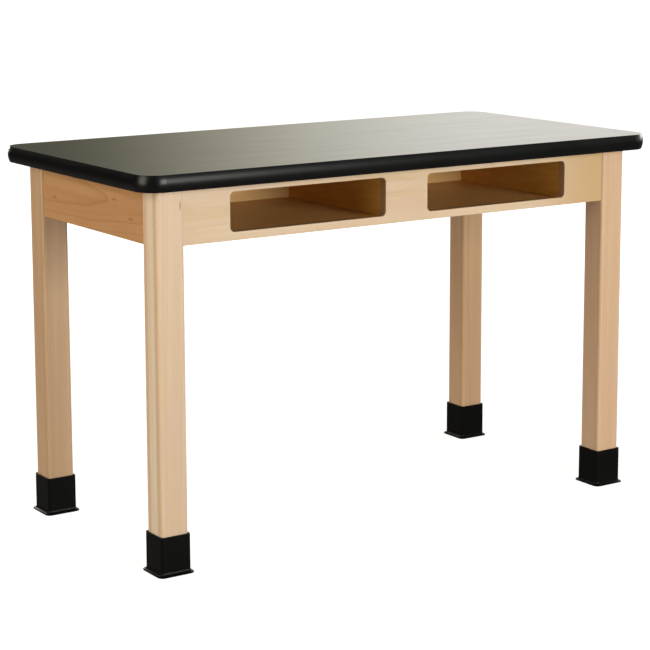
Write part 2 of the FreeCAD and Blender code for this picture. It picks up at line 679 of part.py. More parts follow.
def make_bracket(name, side_x, side_y, angle):
    """A corner plate with a flange against each apron and a lip turned into each saw kerf."""
    body = new_body(f"corner_bracket_{name}")
    sketch = new_sketch(body, "XY_Plane")
    thick = "bracket_thickness"
    inner = f"{BRACKET_REACH} + {thick} * (sqrt(2) - 1)"
    half = [
        (LIP_PLACE, "-bracket_lip"),
        (LIP_PLACE, thick),
        (inner, thick),
    ]
    lower = [
        (BRACKET_REACH, "0"),
        (f"{LIP_PLACE} - {thick}", "0"),
        (f"{LIP_PLACE} - {thick}", "-bracket_lip"),
    ]
    mirrored = [(y, x) for x, y in reversed(half)] + [(y, x) for x, y in reversed(lower)]
    outline(sketch, half + mirrored + lower)
    pad(body, sketch, "bracket_height", both_ways=True)
    near, far = number(BRACKET_REACH) - TINY, number(FLANGE_SCREW)

    def at_bend(edge):
        point = edge.Vertexes[0].Point
        return upright(edge) and near < max(point.x, point.y) < far

    dress(body, "Fillet", at_bend, "bracket_bend")
    plate = new_sketch(body, "XZ_Plane", rotation=FreeCAD.Rotation(V(0, 1, 0), -45))
    for sign in ("-", ""):
        circle(plate, "bolt_diameter + 2 * bolt_hole_gap", "0", f"{sign}bolt_spacing / 2")
    cut(body, plate, f"2 * {BRACKET_REACH}", both_ways=True)
    for role in ("XZ_Plane", "YZ_Plane"):
        flange = new_sketch(body, role)
        for sign in ("-", ""):
            circle(flange, "bracket_screw_diameter + 2 * screw_hole_gap", FLANGE_SCREW,
                   f"{sign}bracket_screw_spacing / 2")
        cut(body, flange, "4 * bracket_thickness", both_ways=True)
    lip = number("bracket_lip")
    tall = number("bracket_height") / 2

    def at_lip_corner(edge):
        box = edge.BoundBox
        along_x = abs(box.YMin + lip) < TINY and abs(box.YMax + lip) < TINY
        along_y = abs(box.XMin + lip) < TINY and abs(box.XMax + lip) < TINY
        return (along_x or along_y) and abs(abs(box.ZMin + box.ZMax) / 2 - tall) < TINY

    dress(body, "Chamfer", at_lip_corner, "bracket_corner_cut")
    corner_x, corner_y = f"{side_x} * {APRON_INNER_X}", f"{side_y} * {APRON_INNER_Y}"
    place(body, corner_x, corner_y, BRACKET_HEIGHT_PLACE, turn(angle))
    sub_part(body)


def bolt_places():
    """Where the hanger bolts pass the brackets' leg-side faces, with their axes to the table's middle."""
    spots = []
    for _, side_x, side_y, angle in CORNERS:
        rotation = turn(angle + 45).multiply(FreeCAD.Rotation(V(0, 1, 0), 90))
        for sign in ("-", "+"):
            x = f"{side_x} * ({APRON_INNER_X} - {BRACKET_REACH} / 2)"
            y = f"{side_y} * ({APRON_INNER_Y} - {BRACKET_REACH} / 2)"
            spots.append((x, y, f"{BRACKET_HEIGHT_PLACE} {sign} bolt_spacing / 2", rotation))
    return spots


def bracket_screw_places():
    """Where the bracket screws' heads seat on the flanges, with their axes into the aprons."""
    spots = []
    for _, side_x, side_y, _ in CORNERS:
        for step in ("-", "+"):
            z = f"{BRACKET_HEIGHT_PLACE} {step} bracket_screw_spacing / 2"
            x = f"{side_x} * ({APRON_INNER_X} - {FLANGE_SCREW})"
            y = f"{side_y} * ({APRON_INNER_Y} - bracket_thickness)"
            spots.append((x, y, z, FreeCAD.Rotation(V(1, 0, 0), -90 * side_y)))
            x = f"{side_x} * ({APRON_INNER_X} - bracket_thickness)"
            y = f"{side_y} * ({APRON_INNER_Y} - {FLANGE_SCREW})"
            spots.append((x, y, z, FreeCAD.Rotation(V(0, 1, 0), 90 * side_x)))
    return spots


def make_corner_fasteners():
    """Hanger bolts with washers and nuts, and the brackets' screws."""
    bolt = new_body("hanger_bolt_pattern")
    sketch = new_sketch(bolt, "XZ_Plane")
    stack = "(bracket_thickness + washer_thickness + nut_thickness + bolt_tail)"
    outline(sketch, [
        ("0", "-bolt_reach"),
        ("bolt_diameter / 2 - bolt_end_cut", "-bolt_reach"),
        ("bolt_diameter / 2", "-bolt_reach + 2 * bolt_end_cut"),
        ("bolt_diameter / 2", f"{stack} - bolt_end_cut"),
        ("bolt_diameter / 2 - bolt_end_cut", stack),
        ("0", stack),
    ])
    revolve(bolt, sketch)
    group("hanger_bolts", bolt, bolt_places())

    washer = new_body("washer_pattern")
    sketch = new_sketch(washer, "XY_Plane", z="bracket_thickness")
    circle(sketch, "washer_diameter")
    circle(sketch, "bolt_diameter + 2 * bolt_hole_gap")
    pad(washer, sketch, "washer_thickness")
    group("bracket_washers", washer, bolt_places())

    nut = new_body("nut_pattern")
    sketch = new_sketch(nut, "XY_Plane", z="bracket_thickness + washer_thickness")
    hexagon(sketch, "nut_width")
    circle(sketch, "bolt_diameter + 2 * nut_bore_gap")
    pad(nut, sketch, "nut_thickness")
    group("bracket_nuts", nut, bolt_places())

    screw = make_screw("bracket_screw_pattern", "bracket_screw")
    group("bracket_screws", screw, bracket_screw_places())


def make_inserts():
    """Flanged threaded inserts in the legs' bottom ends."""
    insert = new_body("insert_pattern")
    sketch = new_sketch(insert, "XZ_Plane")
    bore = "stem_diameter / 2 + thread_gap"
    outline(sketch, [
        (bore, "0"),
        ("insert_flange / 2", "0"),
        ("insert_flange / 2", "insert_flange_thickness"),
        ("insert_barrel / 2", "insert_flange_thickness"),
        ("insert_barrel / 2", "insert_barrel_length"),
        (bore, "insert_barrel_length"),
    ])
    revolve(insert, sketch)
    spots = []
    for _, side_x, side_y, _ in CORNERS:
        spots.append((f"{side_x} * {LEG_X}", f"{side_y} * {LEG_Y}", INSERT_BOTTOM, turn(0)))
    group("leg_inserts", insert, spots)


def make_glide_stem(name, side_x, side_y):
    """The threaded stem: a ball in the pad, a neck, a hexagon collar and the thread."""
    body = new_body(f"glide_stem_{name}")
    sketch = new_sketch(body, "XZ_Plane")
    ball, neck, shank = "ball_diameter / 2", "(ball_diameter - neck_step) / 2", "stem_diameter / 2"
    meet = f"({BALL_HEIGHT} + sqrt(({ball}) ^ 2 - ({neck}) ^ 2))"
    shoulder = f"{COLLAR_BOTTOM} + collar_gap / 2"
    points = [
        (neck, meet),
        (neck, shoulder),
        (shank, shoulder),
        (shank, f"{STEM_TOP} - stem_end_cut"),
        (f"{shank} - stem_end_cut", STEM_TOP),
        ("0", STEM_TOP),
        ("0", f"{BALL_HEIGHT} - {ball}"),
    ]
    corners = [V(number(x), number(y), 0) for x, y in points]
    lines = []
    for (x, y), a, b in zip(points, corners, corners[1:]):
        lines.append(sketch.addGeometry(Part.LineSegment(a, b), False))
        hold(sketch, lines[-1], 1, x, y)
    hold(sketch, lines[-1], 2, *points[-1])
    for line, following in zip(lines, lines[1:]):
        sketch.addConstraint(Sketcher.Constraint("Coincident", line, 2, following, 1))
    cheek = V(number(ball), number(BALL_HEIGHT), 0)
    arc = sketch.addGeometry(Part.Arc(corners[-1], cheek, corners[0]), False)
    sketch.addConstraint(Sketcher.Constraint("Coincident", arc, 1, lines[-1], 2))
    sketch.addConstraint(Sketcher.Constraint("Coincident", arc, 2, lines[0], 1))
    index = sketch.addConstraint(Sketcher.Constraint("Radius", arc, number(ball)))
    bind(sketch, f"Constraints[{index}]", ball)
    revolve(body, sketch)
    collar = new_sketch(body, "XY_Plane", z=COLLAR_BOTTOM)
    hexagon(collar, "collar_width")
    pad(body, collar, "collar_height")
    place(body, f"{side_x} * {LEG_X}", f"{side_y} * {LEG_Y}")
    sub_part(body)


def make_glide_pad(name, side_x, side_y):
    """The pad: a low cone with a round socket that the stem's ball turns in."""
    body = new_body(f"glide_pad_{name}")
    sketch = new_sketch(body, "XZ_Plane")
    outline(sketch, [
        ("0", "0"),
        ("pad_diameter / 2", "0"),
        ("pad_diameter / 2", "pad_rim"),
        ("pad_hub / 2", PAD_HEIGHT),
        ("0", PAD_HEIGHT),
    ])
    revolve(body, sketch)
    rim = number("pad_diameter") / 2
    dress(body, "Fillet", lambda e: abs(e.BoundBox.XMax - rim) < TINY and not upright(e), "pad_edge_round")
    socket = body.newObject("PartDesign::SubtractiveSphere", f"{body.Name}_socket")
    bind(socket, "Radius", "ball_diameter / 2 + ball_gap")
    bind(socket, "Placement.Base.z", BALL_HEIGHT)
    place(body, f"{side_x} * {LEG_X}", f"{side_y} * {LEG_Y}")
    doc.recompute()
    sub_part(body)


def make_boot(name, side_x, side_y):
    """A moulded boot: a square sleeve on the leg, coved out to a flange on the floor."""
    body = new_body(f"boot_{name}")
    flange = new_sketch(body, "XY_Plane")
    half = f"{BOOT_HALF} + flange_reach"
    rounded_rectangle(flange, half, half, "boot_corner_round + flange_reach")
    pad(body, flange, "flange_edge")
    sleeve = new_sketch(body, "XY_Plane")
    rounded_rectangle(sleeve, BOOT_HALF, BOOT_HALF, "boot_corner_round")
    pad(body, sleeve, "boot_height")
    flange_top, rim = number("flange_edge"), number("boot_height")
    side = number(BOOT_HALF) + TINY

    def at_cove(edge):
        box = edge.BoundBox
        return within(edge, "Z", flange_top) and max(-box.XMin, box.XMax, -box.YMin, box.YMax) < side

    dress(body, "Fillet", at_cove, "flange_reach - flange_lip")
    dress(body, "Fillet", lambda e: within(e, "Z", rim), "boot_rim_round")
    inside = new_sketch(body, "XY_Plane")
    hollow = "leg_width / 2 + boot_fit"
    rounded_rectangle(inside, hollow, hollow, "boot_inner_round")
    cut(body, inside, "boot_height + overrun", reverse=True)
    place(body, f"{side_x} * {LEG_X}", f"{side_y} * {LEG_Y}")
    sub_part(body)


make_top()
make_moulding()
for corner in CORNERS:
    make_leg(*corner)
make_front_apron()
make_plain_aprons()
for compartment in SIDES:
    make_compartment(*compartment)
make_cleats()
for corner in CORNERS:
    make_bracket(*corner)
make_corner_fasteners()
make_inserts()
for corner_name, corner_x, corner_y, _ in CORNERS:
    make_glide_stem(corner_name, corner_x, corner_y)
    make_glide_pad(corner_name, corner_x, corner_y)
    make_boot(corner_name, corner_x, corner_y)
doc.recompute()

for item in doc.Objects:
    if "Invalid" in item.State or "Error" in item.State:
        raise ValueError(f"{item.Name} failed: {item.State}")
for node in nodes:
    if node.Shape.isNull() or not node.Shape.isValid() or not node.Shape.Solids:
        raise ValueError(f"{node.Label} has no valid solid")

os.makedirs("parts", exist_ok=True)
for node in nodes:
    node.Shape.exportStep(f"parts/{node.Label}.step")
print(len(nodes), "sub-parts written")
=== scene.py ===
import math

import bmesh
import bpy
from mathutils import Matrix, Vector


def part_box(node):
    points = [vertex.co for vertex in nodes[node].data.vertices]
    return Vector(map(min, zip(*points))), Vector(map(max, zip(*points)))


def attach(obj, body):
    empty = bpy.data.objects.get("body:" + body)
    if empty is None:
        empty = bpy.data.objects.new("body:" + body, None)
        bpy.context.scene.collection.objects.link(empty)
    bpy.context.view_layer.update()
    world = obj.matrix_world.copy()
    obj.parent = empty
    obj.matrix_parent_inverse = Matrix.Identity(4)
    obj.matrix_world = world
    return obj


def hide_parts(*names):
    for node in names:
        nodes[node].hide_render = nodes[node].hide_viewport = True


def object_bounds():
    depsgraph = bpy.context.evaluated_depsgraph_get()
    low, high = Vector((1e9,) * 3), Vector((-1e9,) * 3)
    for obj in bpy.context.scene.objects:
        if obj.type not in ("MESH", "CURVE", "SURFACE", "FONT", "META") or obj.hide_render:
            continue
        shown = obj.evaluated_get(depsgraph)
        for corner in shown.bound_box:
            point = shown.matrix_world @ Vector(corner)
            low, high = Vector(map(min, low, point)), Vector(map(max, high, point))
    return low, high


# Looks for a science lab table: a black laminate top with a vinyl edge on a maple frame, with two
# open book compartments and black boots over levelling glides. Metres; X along the table, Y from
# the front to the back, Z up.

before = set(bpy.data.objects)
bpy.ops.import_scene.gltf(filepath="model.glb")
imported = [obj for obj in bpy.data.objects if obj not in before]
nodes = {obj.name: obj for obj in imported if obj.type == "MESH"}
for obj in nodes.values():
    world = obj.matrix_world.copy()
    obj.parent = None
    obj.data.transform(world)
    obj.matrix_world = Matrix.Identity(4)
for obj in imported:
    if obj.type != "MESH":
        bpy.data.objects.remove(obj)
cad_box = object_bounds()

MM = 0.001
WHITE = (1.0, 1.0, 1.0)
CORNERS = ("front_left", "front_right", "back_right", "back_left")

# Axes, for the way a board's grain runs
ALONG_X, ALONG_Y, ALONG_Z = 0, 1, 2


class Value:
    """A socket of a node tree: arithmetic on it adds Math nodes."""

    def __init__(self, tree, socket):
        self.tree = tree
        self.socket = socket

    def math(self, operation, *values):
        """A Math node's result."""
        return self.tree.add("ShaderNodeMath", {"operation": operation}, *values)

    def __add__(self, other):
        return self.math("ADD", self, other)

    def __radd__(self, other):
        return self.math("ADD", other, self)

    def __sub__(self, other):
        return self.math("SUBTRACT", self, other)

    def __rsub__(self, other):
        return self.math("SUBTRACT", other, self)

    def __mul__(self, other):
        return self.math("MULTIPLY", self, other)

    def __rmul__(self, other):
        return self.math("MULTIPLY", other, self)

    def __truediv__(self, other):
        return self.math("DIVIDE", self, other)

    def __rtruediv__(self, other):
        return self.math("DIVIDE", other, self)

    def __pow__(self, other):
        return self.math("POWER", self, other)

    def __rpow__(self, other):
        return self.math("POWER", other, self)

    def __abs__(self):
        return self.math("ABSOLUTE", self)

    def fraction(self):
        return self.math("FRACT", self)

    def floor(self):
        return self.math("FLOOR", self)

    def root(self):
        return self.math("SQRT", self)

    def sine(self):
        return self.math("SINE", self)

    def or_more(self, other):
        return self.math("MAXIMUM", self, other)

    def or_less(self, other):
        return self.math("MINIMUM", self, other)

    def swing(self, amount):
        """Noise as a change to either side of nothing, by up to half the amount."""
        return (self - 0.5) * amount

    def between(self, low, high):
        """0 at low and 1 at high, smooth between them and level beyond."""
        settings = {"interpolation_type": "SMOOTHSTEP"}
        return self.tree.add("ShaderNodeMapRange", settings, self, low, high, 0.0, 1.0)


class Tree:
    """A node tree under construction, with one method that adds every node."""

    def __init__(self, tree):
        self.tree = tree
        tree.nodes.clear()

    def add(self, kind, settings, *values, output=0, **named):
        """Adds a node: its settings, then its sockets' values or links, in order or by name."""
        node = self.tree.nodes.new(kind)
        for name, setting in settings.items():
            setattr(node, name, setting)
        keyed = list(enumerate(values))
        keyed += [(name.replace("_", " "), value) for name, value in named.items()]
        for key, value in keyed:
            if isinstance(value, Value):
                self.tree.links.new(value.socket, node.inputs[key])
            elif value is not None:
                node.inputs[key].default_value = value
        if isinstance(output, tuple):
            return [Value(self, node.outputs[key]) for key in output]
        return Value(self, node.outputs[output]) if node.outputs else None

    def place(self):
        """Where a point is, in metres."""
        return self.add("ShaderNodeTexCoord", {}, output="Object")

    def shift(self, vector, offset):
        """A vector moved by an offset."""
        return self.add("ShaderNodeVectorMath", {"operation": "ADD"}, vector, offset)

    def stretch(self, vector, scale):
        """A vector scaled along each axis."""
        return self.add("ShaderNodeVectorMath", {"operation": "MULTIPLY"}, vector, scale)

    def apart(self, vector):
        """The three numbers of a vector."""
        return self.add("ShaderNodeSeparateXYZ", {}, vector, output=(0, 1, 2))

    def together(self, x, y, z):
        """A vector of three numbers."""
        return self.add("ShaderNodeCombineXYZ", {}, x, y, z)

    def noise(self, vector, scale=1.0, detail=2.0, rough=0.5):
        """Smooth noise, about its middle of 0.5."""
        named = {"Vector": vector, "Scale": scale, "Detail": detail, "Roughness": rough}
        return self.add("ShaderNodeTexNoise", {}, **named)

    def grained(self, board, waves, detail=2.0):
        """Noise in waves along and across the grain, from where a point is on a board."""
        along, across, deep = board
        lengthways, sideways = waves
        drawn = self.together(along * lengthways, across * sideways, deep * sideways)
        return self.noise(drawn, detail=detail)

    def cells(self, vector, scale, output="Distance"):
        """The nearest of scattered points: how far off it is, or its random colour."""
        return self.add("ShaderNodeTexVoronoi", {}, Vector=vector, Scale=scale, output=output)

    def chance(self, number):
        """A random number from 0 to 1 for each number."""
        return self.add("ShaderNodeTexWhiteNoise", {"noise_dimensions": "1D"}, W=number)

    def mix(self, factor, low, high, blend="MIX"):
        """A colour, from low at factor 0 to high at factor 1."""
        settings = {"data_type": "RGBA", "blend_type": blend}
        ends = [end if isinstance(end, Value) else (*end, 1.0) for end in (low, high)]
        unused = [None] * 5
        return self.add("ShaderNodeMix", settings, factor, *unused, *ends, output=2)

    def bump(self, height, distance, strength=0.5):
        """The normal of a surface that rises by a distance where a height goes from 0 to 1."""
        return self.add("ShaderNodeBump", {}, Height=height, Distance=distance, Strength=strength)

    def rays(self, *names):
        """1 for rays of any of the named kinds, and 0 for others."""
        kinds = self.add("ShaderNodeLightPath", {}, output=names)
        total = kinds[0]
        for kind in kinds[1:]:
            total = total.or_more(kind)
        return total


class Finish(Tree):
    """A material under construction."""

    def __init__(self, name):
        self.material = bpy.data.materials.new(name)
        self.material.use_nodes = True
        super().__init__(self.material.node_tree)

    def surface(self, **sockets):
        """Ends the material in a Principled shader with these sockets."""
        shader = self.add("ShaderNodeBsdfPrincipled", {}, **sockets)
        self.add("ShaderNodeOutputMaterial", {}, Surface=shader)
        return self.material


# Finishes. Colours are in linear light, waves and counts are to the metre, and a relief is how high
# a surface's bumps stand. The thresholds and shares that shape noise stand where it is used.

# Maple: the run of the board, its warmer and pinker streaks, the late wood of its growth rings, its
# dark specks, a pale streak of sapwood and the warmer wood beside it, wood that has yellowed, and
# the painted shade on the cut faces inside the openings
MAPLE_PALE = (0.750, 0.565, 0.385)
MAPLE_WARM = (0.695, 0.495, 0.300)
MAPLE_PINK = (0.715, 0.500, 0.345)
MAPLE_RING = (0.440, 0.255, 0.115)
MAPLE_SPECK = (0.200, 0.100, 0.045)
SAPWOOD = (0.880, 0.785, 0.610)
BESIDE_SAPWOOD = (0.680, 0.445, 0.235)
YELLOWED = (0.620, 0.400, 0.190)
PAINTED_WINDOW_SHADE = (0.370, 0.185, 0.075)
MAPLE_RELIEF = 0.06 * MM
LACQUER = {"Coat_Weight": 0.10, "Coat_Roughness": 0.25, "Specular_IOR_Level": 0.4}

# The maple's figure, in waves along and across the grain
HEART_WANDER = (2.4, 5.0)
RING_RIPPLE = (11.0, 70.0)
STREAKS = (1.3, 55.0)
CLOUDS = (3.5, 16.0)
FIBRES = (18.0, 850.0)
RAY_FLECKS = (140.0, 1500.0)

# Its growth rings: how many there are, how far their heart wanders and each ring ripples, and the
# power by which the late wood rises towards the end of a ring
RINGS = 190.0
WANDER_REACH = 28 * MM
RIPPLE_REACH = 1.4 * MM
LATE_WOOD_POWER = 4.0

# Its specks, and the marks that have a place of their own: how many specks there are and how wide
# they are for their length, how long a mark is for its width, and how far from its middle a mark
# begins and is full
SPECKS = 24.0
SPECK_WIDTH_SHARE = 0.3
MARK_LENGTH_SHARE = 4.0
MARK_FADE = (3.4 * MM, 0.68 * MM)


def board_axes(wood, node, grain):
    """Where a point is on a board: along the grain, across it and through it, from the middle."""
    low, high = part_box(node)
    x, y, z = wood.apart(wood.shift(wood.place(), tuple(-(low + high) / 2)))
    return ((x, z, y), (y, z, x), (z, x, y))[grain]


def late_wood(wood, board, heart, tilt):
    """The darker late part of the growth rings round a leaning, wandering heart."""
    along, across, deep = board
    wander = wood.grained(board, HEART_WANDER)
    ripple = wood.grained(board, RING_RIPPLE, detail=1.0)
    off = across - heart[0] + wander.swing(WANDER_REACH)
    down = deep - heart[1]
    radius = (off * off + down * down).root()
    growth = (radius + along * tilt + ripple.swing(RIPPLE_REACH)) * RINGS
    strength = wood.chance(growth.floor()).between(0.2, 1.0)
    return growth.fraction() ** LATE_WOOD_POWER * strength


def add_sapwood(wood, colour, board, sapwood, broad, cloud):
    """A pale streak along a board, broken by its streaks and clouds, with warmer wood beside it."""
    _, across, deep = board
    side, near, far = sapwood
    beyond = across.between(side, side - 5 * MM)
    edge = deep.between(near - 8 * MM, near - 3 * MM) * deep.between(far + 12 * MM, far + 5 * MM)
    colour = wood.mix(beyond * edge * 0.55, colour, BESIDE_SAPWOOD)
    streak = beyond * deep.between(near - 4 * MM, near) * deep.between(far + 5 * MM, far)
    streak = streak * cloud.between(0.25, 0.45) * (1.2 - broad)
    return wood.mix(streak * 0.75, colour, SAPWOOD)


def add_window_shade(wood, colour, board, windows):
    """Painted shade on the cut faces inside the openings, behind the rounded lip."""
    along, _, deep = board
    (near, far), (low, high), depth = windows
    _, _, height = wood.apart(wood.place())
    sides = abs(along)
    inside = sides.between(near - MM, near) * sides.between(far + MM, far)
    inside = inside * height.between(low - MM, low) * height.between(high + MM, high)
    inside = inside * deep.between(depth, depth + MM)
    return wood.mix(inside * 0.85, colour, PAINTED_WINDOW_SHADE)


def add_mark(wood, colour, grain, mark):
    """A small dark fleck at a place on the table, drawn out along the grain."""
    away = list(wood.apart(wood.shift(wood.place(), tuple(-part for part in mark))))
    away[grain] = away[grain] / MARK_LENGTH_SHARE
    off = (away[0] * away[0] + away[1] * away[1] + away[2] * away[2]).root()
    return wood.mix(off.between(*MARK_FADE) * 0.5, colour, MAPLE_SPECK)


def maple(
        node, grain, heart, tilt, tint=WHITE, figure=0.35, sapwood=None, yellow=None, windows=None,
        marks=()):
    """
    Clear-lacquered maple. Heart is where the log's middle lies, across the board and through it,
    tilt how far it leans along the board, and figure how strongly its rings show. Sapwood is a pale
    streak, beyond a place across the board and between two through it, and yellow the stretch along
    it over which the wood yellows. Windows are the openings cut in the board, whose cut faces get
    painted shade, and marks the places of small dark flecks.
    """
    wood = Finish(f"maple_{node}")
    board = board_axes(wood, node, grain)
    along, across, deep = board
    late = late_wood(wood, board, heart, tilt)
    broad = wood.grained(board, STREAKS, detail=3.0)
    cloud = wood.grained(board, CLOUDS, detail=1.0)
    fine = wood.grained(board, FIBRES, detail=3.0)
    fleck = wood.grained(board, RAY_FLECKS, detail=0.0).between(0.66, 0.74)
    spots = wood.cells(wood.together(along * SPECK_WIDTH_SHARE, across, deep), SPECKS)
    speck = 1 - spots.between(0.020, 0.034)
    colour = wood.mix(broad.between(0.35, 0.68), MAPLE_PALE, MAPLE_WARM)
    colour = wood.mix(cloud.between(0.42, 0.75) * 0.8, colour, MAPLE_PINK)
    if sapwood:
        colour = add_sapwood(wood, colour, board, sapwood, broad, cloud)
    if yellow:
        colour = wood.mix(along.between(*yellow) * 0.9, colour, YELLOWED)
    if windows:
        # Painted shade: the cut faces inside the openings are darkened
        colour = add_window_shade(wood, colour, board, windows)
    colour = wood.mix(late * figure, colour, MAPLE_RING)
    colour = wood.mix(fine.swing(0.30) + 0.04 + fleck * 0.12, colour, MAPLE_RING)
    colour = wood.mix(speck * 0.6, colour, MAPLE_SPECK)
    for mark in marks:
        colour = add_mark(wood, colour, grain, mark)
    colour = wood.mix(1.0, colour, tint, blend="MULTIPLY")
    rough = 0.40 + fine.swing(0.14) + late * 0.05
    relief = wood.bump(fine * 0.6 - late * 0.4 - fleck * 0.6, MAPLE_RELIEF)
    return wood.surface(Base_Color=colour, Roughness=rough, Normal=relief, **LACQUER)


# Plywood: its face, its darker bands, clouds and fibres, and the end grain of its crossed plies
PLY_GOLD = (0.960, 0.630, 0.270)
PLY_BAND = (0.870, 0.490, 0.170)
PLY_CLOUD = (0.920, 0.530, 0.200)
PLY_FIBRE = (0.300, 0.150, 0.060)
PLY_END_GRAIN = (0.330, 0.180, 0.080)
PLY_RELIEF = 0.07 * MM

# Its figure, in waves along and across the grain, its bands across the grain, its plies, and how
# deep in an outer ply, as a share of one, its face is taken to lie
PLY_WANDER = (2.0, 7.0)
PLY_CLOUDS = (4.0, 20.0)
PLY_FIBRES = (16.0, 800.0)
PLY_BANDS = 60.0
PLIES = 9.0
FACE_DEPTH = 0.1


def plywood(node, grain, thickness, tint=WHITE):
    """Golden lacquered plywood: a rotary-cut face, and its plies where an edge is cut."""
    ply = Finish(f"plywood_{node}")
    low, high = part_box(node)
    axes = ply.apart(ply.shift(ply.place(), tuple(-(low + high) / 2)))
    (width,) = {ALONG_X, ALONG_Y, ALONG_Z} - {grain, thickness}
    along, across, through = axes[grain], axes[width], axes[thickness]
    panel = (along, across, through)
    wander = ply.grained(panel, PLY_WANDER)
    rings = (across * PLY_BANDS + wander * 7.0 + along * 1.5).fraction()
    band = rings.between(0.0, 0.75) * (1 - rings.between(0.85, 1.0))
    fine = ply.grained(panel, PLY_FIBRES, detail=3.0)
    cloud = ply.grained(panel, PLY_CLOUDS)
    colour = ply.mix(band * 0.45, PLY_GOLD, PLY_BAND)
    colour = ply.mix(cloud.between(0.4, 0.75) * 0.5, colour, PLY_CLOUD)
    colour = ply.mix(fine.swing(0.5) + 0.08, colour, PLY_FIBRE)
    # The plies of a cut edge, every other one end grain
    layer = (through / (high - low)[thickness] + 0.5) * PLIES
    layer = layer.or_less(PLIES - FACE_DEPTH).or_more(FACE_DEPTH)
    crossed = (layer * 0.5).fraction().between(0.49, 0.51) * 0.55
    colour = ply.mix(crossed, colour, PLY_END_GRAIN)
    colour = ply.mix(1.0, colour, tint, blend="MULTIPLY")
    relief = ply.bump(fine * 0.8 + crossed * 0.2, PLY_RELIEF)
    rough = 0.44 + fine.swing(0.16)
    return ply.surface(Base_Color=colour, Roughness=rough, Normal=relief, Specular_IOR_Level=0.3)


# Cleats: pale and darker wood and its fibres, the fibres' waves, and the saw's marks in radians to
# the metre
CLEAT_PALE = (0.640, 0.470, 0.300)
CLEAT_DARK = (0.560, 0.380, 0.220)
CLEAT_FIBRE = (0.360, 0.220, 0.110)
CLEAT_FIBRES = (260.0, 260.0, 600.0)
SAW_MARKS = 2600.0
CLEAT_RELIEF = 0.12 * MM


def cleat_wood():
    """Plain sawn maple of the cleats, with the saw's marks."""
    cleat = Finish("cleat_wood")
    place = cleat.place()
    fine = cleat.noise(cleat.stretch(place, CLEAT_FIBRES), detail=3.0)
    cloud = cleat.noise(place, scale=14.0)
    x, y, _ = cleat.apart(place)
    saw = ((x + y) * SAW_MARKS + fine * 3.0).sine()
    colour = cleat.mix(cloud, CLEAT_PALE, CLEAT_DARK)
    colour = cleat.mix(fine.swing(0.5) + 0.1, colour, CLEAT_FIBRE)
    rough = 0.66 + fine.swing(0.15)
    relief = cleat.bump(fine + saw * 0.3, CLEAT_RELIEF, 0.6)
    return cleat.surface(Base_Color=colour, Roughness=rough, Normal=relief)


# Laminate: its two blacks and the paler points of its tooth, the tooth's waves, and how the marks of
# wiping are drawn out along the table
LAMINATE_DARK = (0.013, 0.013, 0.011)
LAMINATE_LIGHT = (0.018, 0.018, 0.015)
LAMINATE_POINT = (0.030, 0.030, 0.027)
TOOTH = 1700.0
WIPING = (1.0, 5.0, 1.0)
LAMINATE_RELIEF = 0.015 * MM


def laminate():
    """Black high-pressure laminate with a fine satin tooth and the faint marks of wiping."""
    sheet = Finish("laminate")
    place = sheet.place()
    tooth = sheet.noise(place, scale=TOOTH, detail=2.0)
    cloud = sheet.noise(place, scale=3.0, detail=3.0)
    wipe = sheet.noise(sheet.stretch(place, WIPING), scale=5.0)
    colour = sheet.mix(cloud, LAMINATE_DARK, LAMINATE_LIGHT)
    colour = sheet.mix(tooth.between(0.62, 0.75) * 0.5, colour, LAMINATE_POINT)
    rough = 0.19 + wipe.swing(0.05) + tooth.swing(0.04)
    relief = sheet.bump(tooth, LAMINATE_RELIEF, 0.4)
    return sheet.surface(Base_Color=colour, Roughness=rough, Normal=relief)


# Vinyl: its dark and light tones, how rough and how shiny it is, and its moulded skin's waves and
# relief; how much lighter its scuffs are, and how they are drawn out along the floor
EDGE_VINYL = dict(
    dark=(0.0026, 0.0027, 0.0028), light=(0.0038, 0.0040, 0.0042), rough=0.30, shine=0.28,
    skin_waves=900.0, skin_relief=0.010 * MM)
BOOT_VINYL = dict(
    dark=(0.0022, 0.0022, 0.0021), light=(0.0034, 0.0034, 0.0032), rough=0.32, shine=0.16,
    skin_waves=650.0, skin_relief=0.012 * MM)
SCUFF_LIFT = 2.2
SCUFFING = (1.0, 1.0, 3.0)


def black_vinyl(name, dark, light, rough, shine, skin_waves, skin_relief):
    """Black vinyl with a moulded skin, slow changes of tone and gloss, and scuffs."""
    skin = Finish(name)
    place = skin.place()
    pebble = skin.noise(place, scale=skin_waves, detail=2.0)
    flow = skin.noise(place, scale=18.0, detail=3.0)
    scuff = skin.noise(skin.stretch(place, SCUFFING), scale=120.0, detail=4.0, rough=0.7)
    colour = skin.mix(flow, dark, light)
    scuffed = tuple(part * SCUFF_LIFT for part in light)
    colour = skin.mix(scuff.between(0.62, 0.80) * 0.4, colour, scuffed)
    gloss = rough + flow.swing(0.08) + scuff.between(0.6, 0.8) * 0.08
    relief = skin.bump(pebble + flow * 0.6, skin_relief, 0.6)
    sockets = {"Specular_IOR_Level": shine}
    return skin.surface(Base_Color=colour, Roughness=gloss, Normal=relief, **sockets)


# Zinc plate: the lights and darks of its spangle and its duller blooms, the spangle's count, and
# the waves of the rolling lines
ZINC_BRIGHT = (0.600, 0.610, 0.600)
ZINC_GREY = (0.470, 0.480, 0.490)
ZINC_BLOOM = (0.400, 0.400, 0.380)
SPANGLE = 260.0
ROLLING_LINES = (900.0, 900.0, 60.0)
ZINC_RELIEF = 0.01 * MM


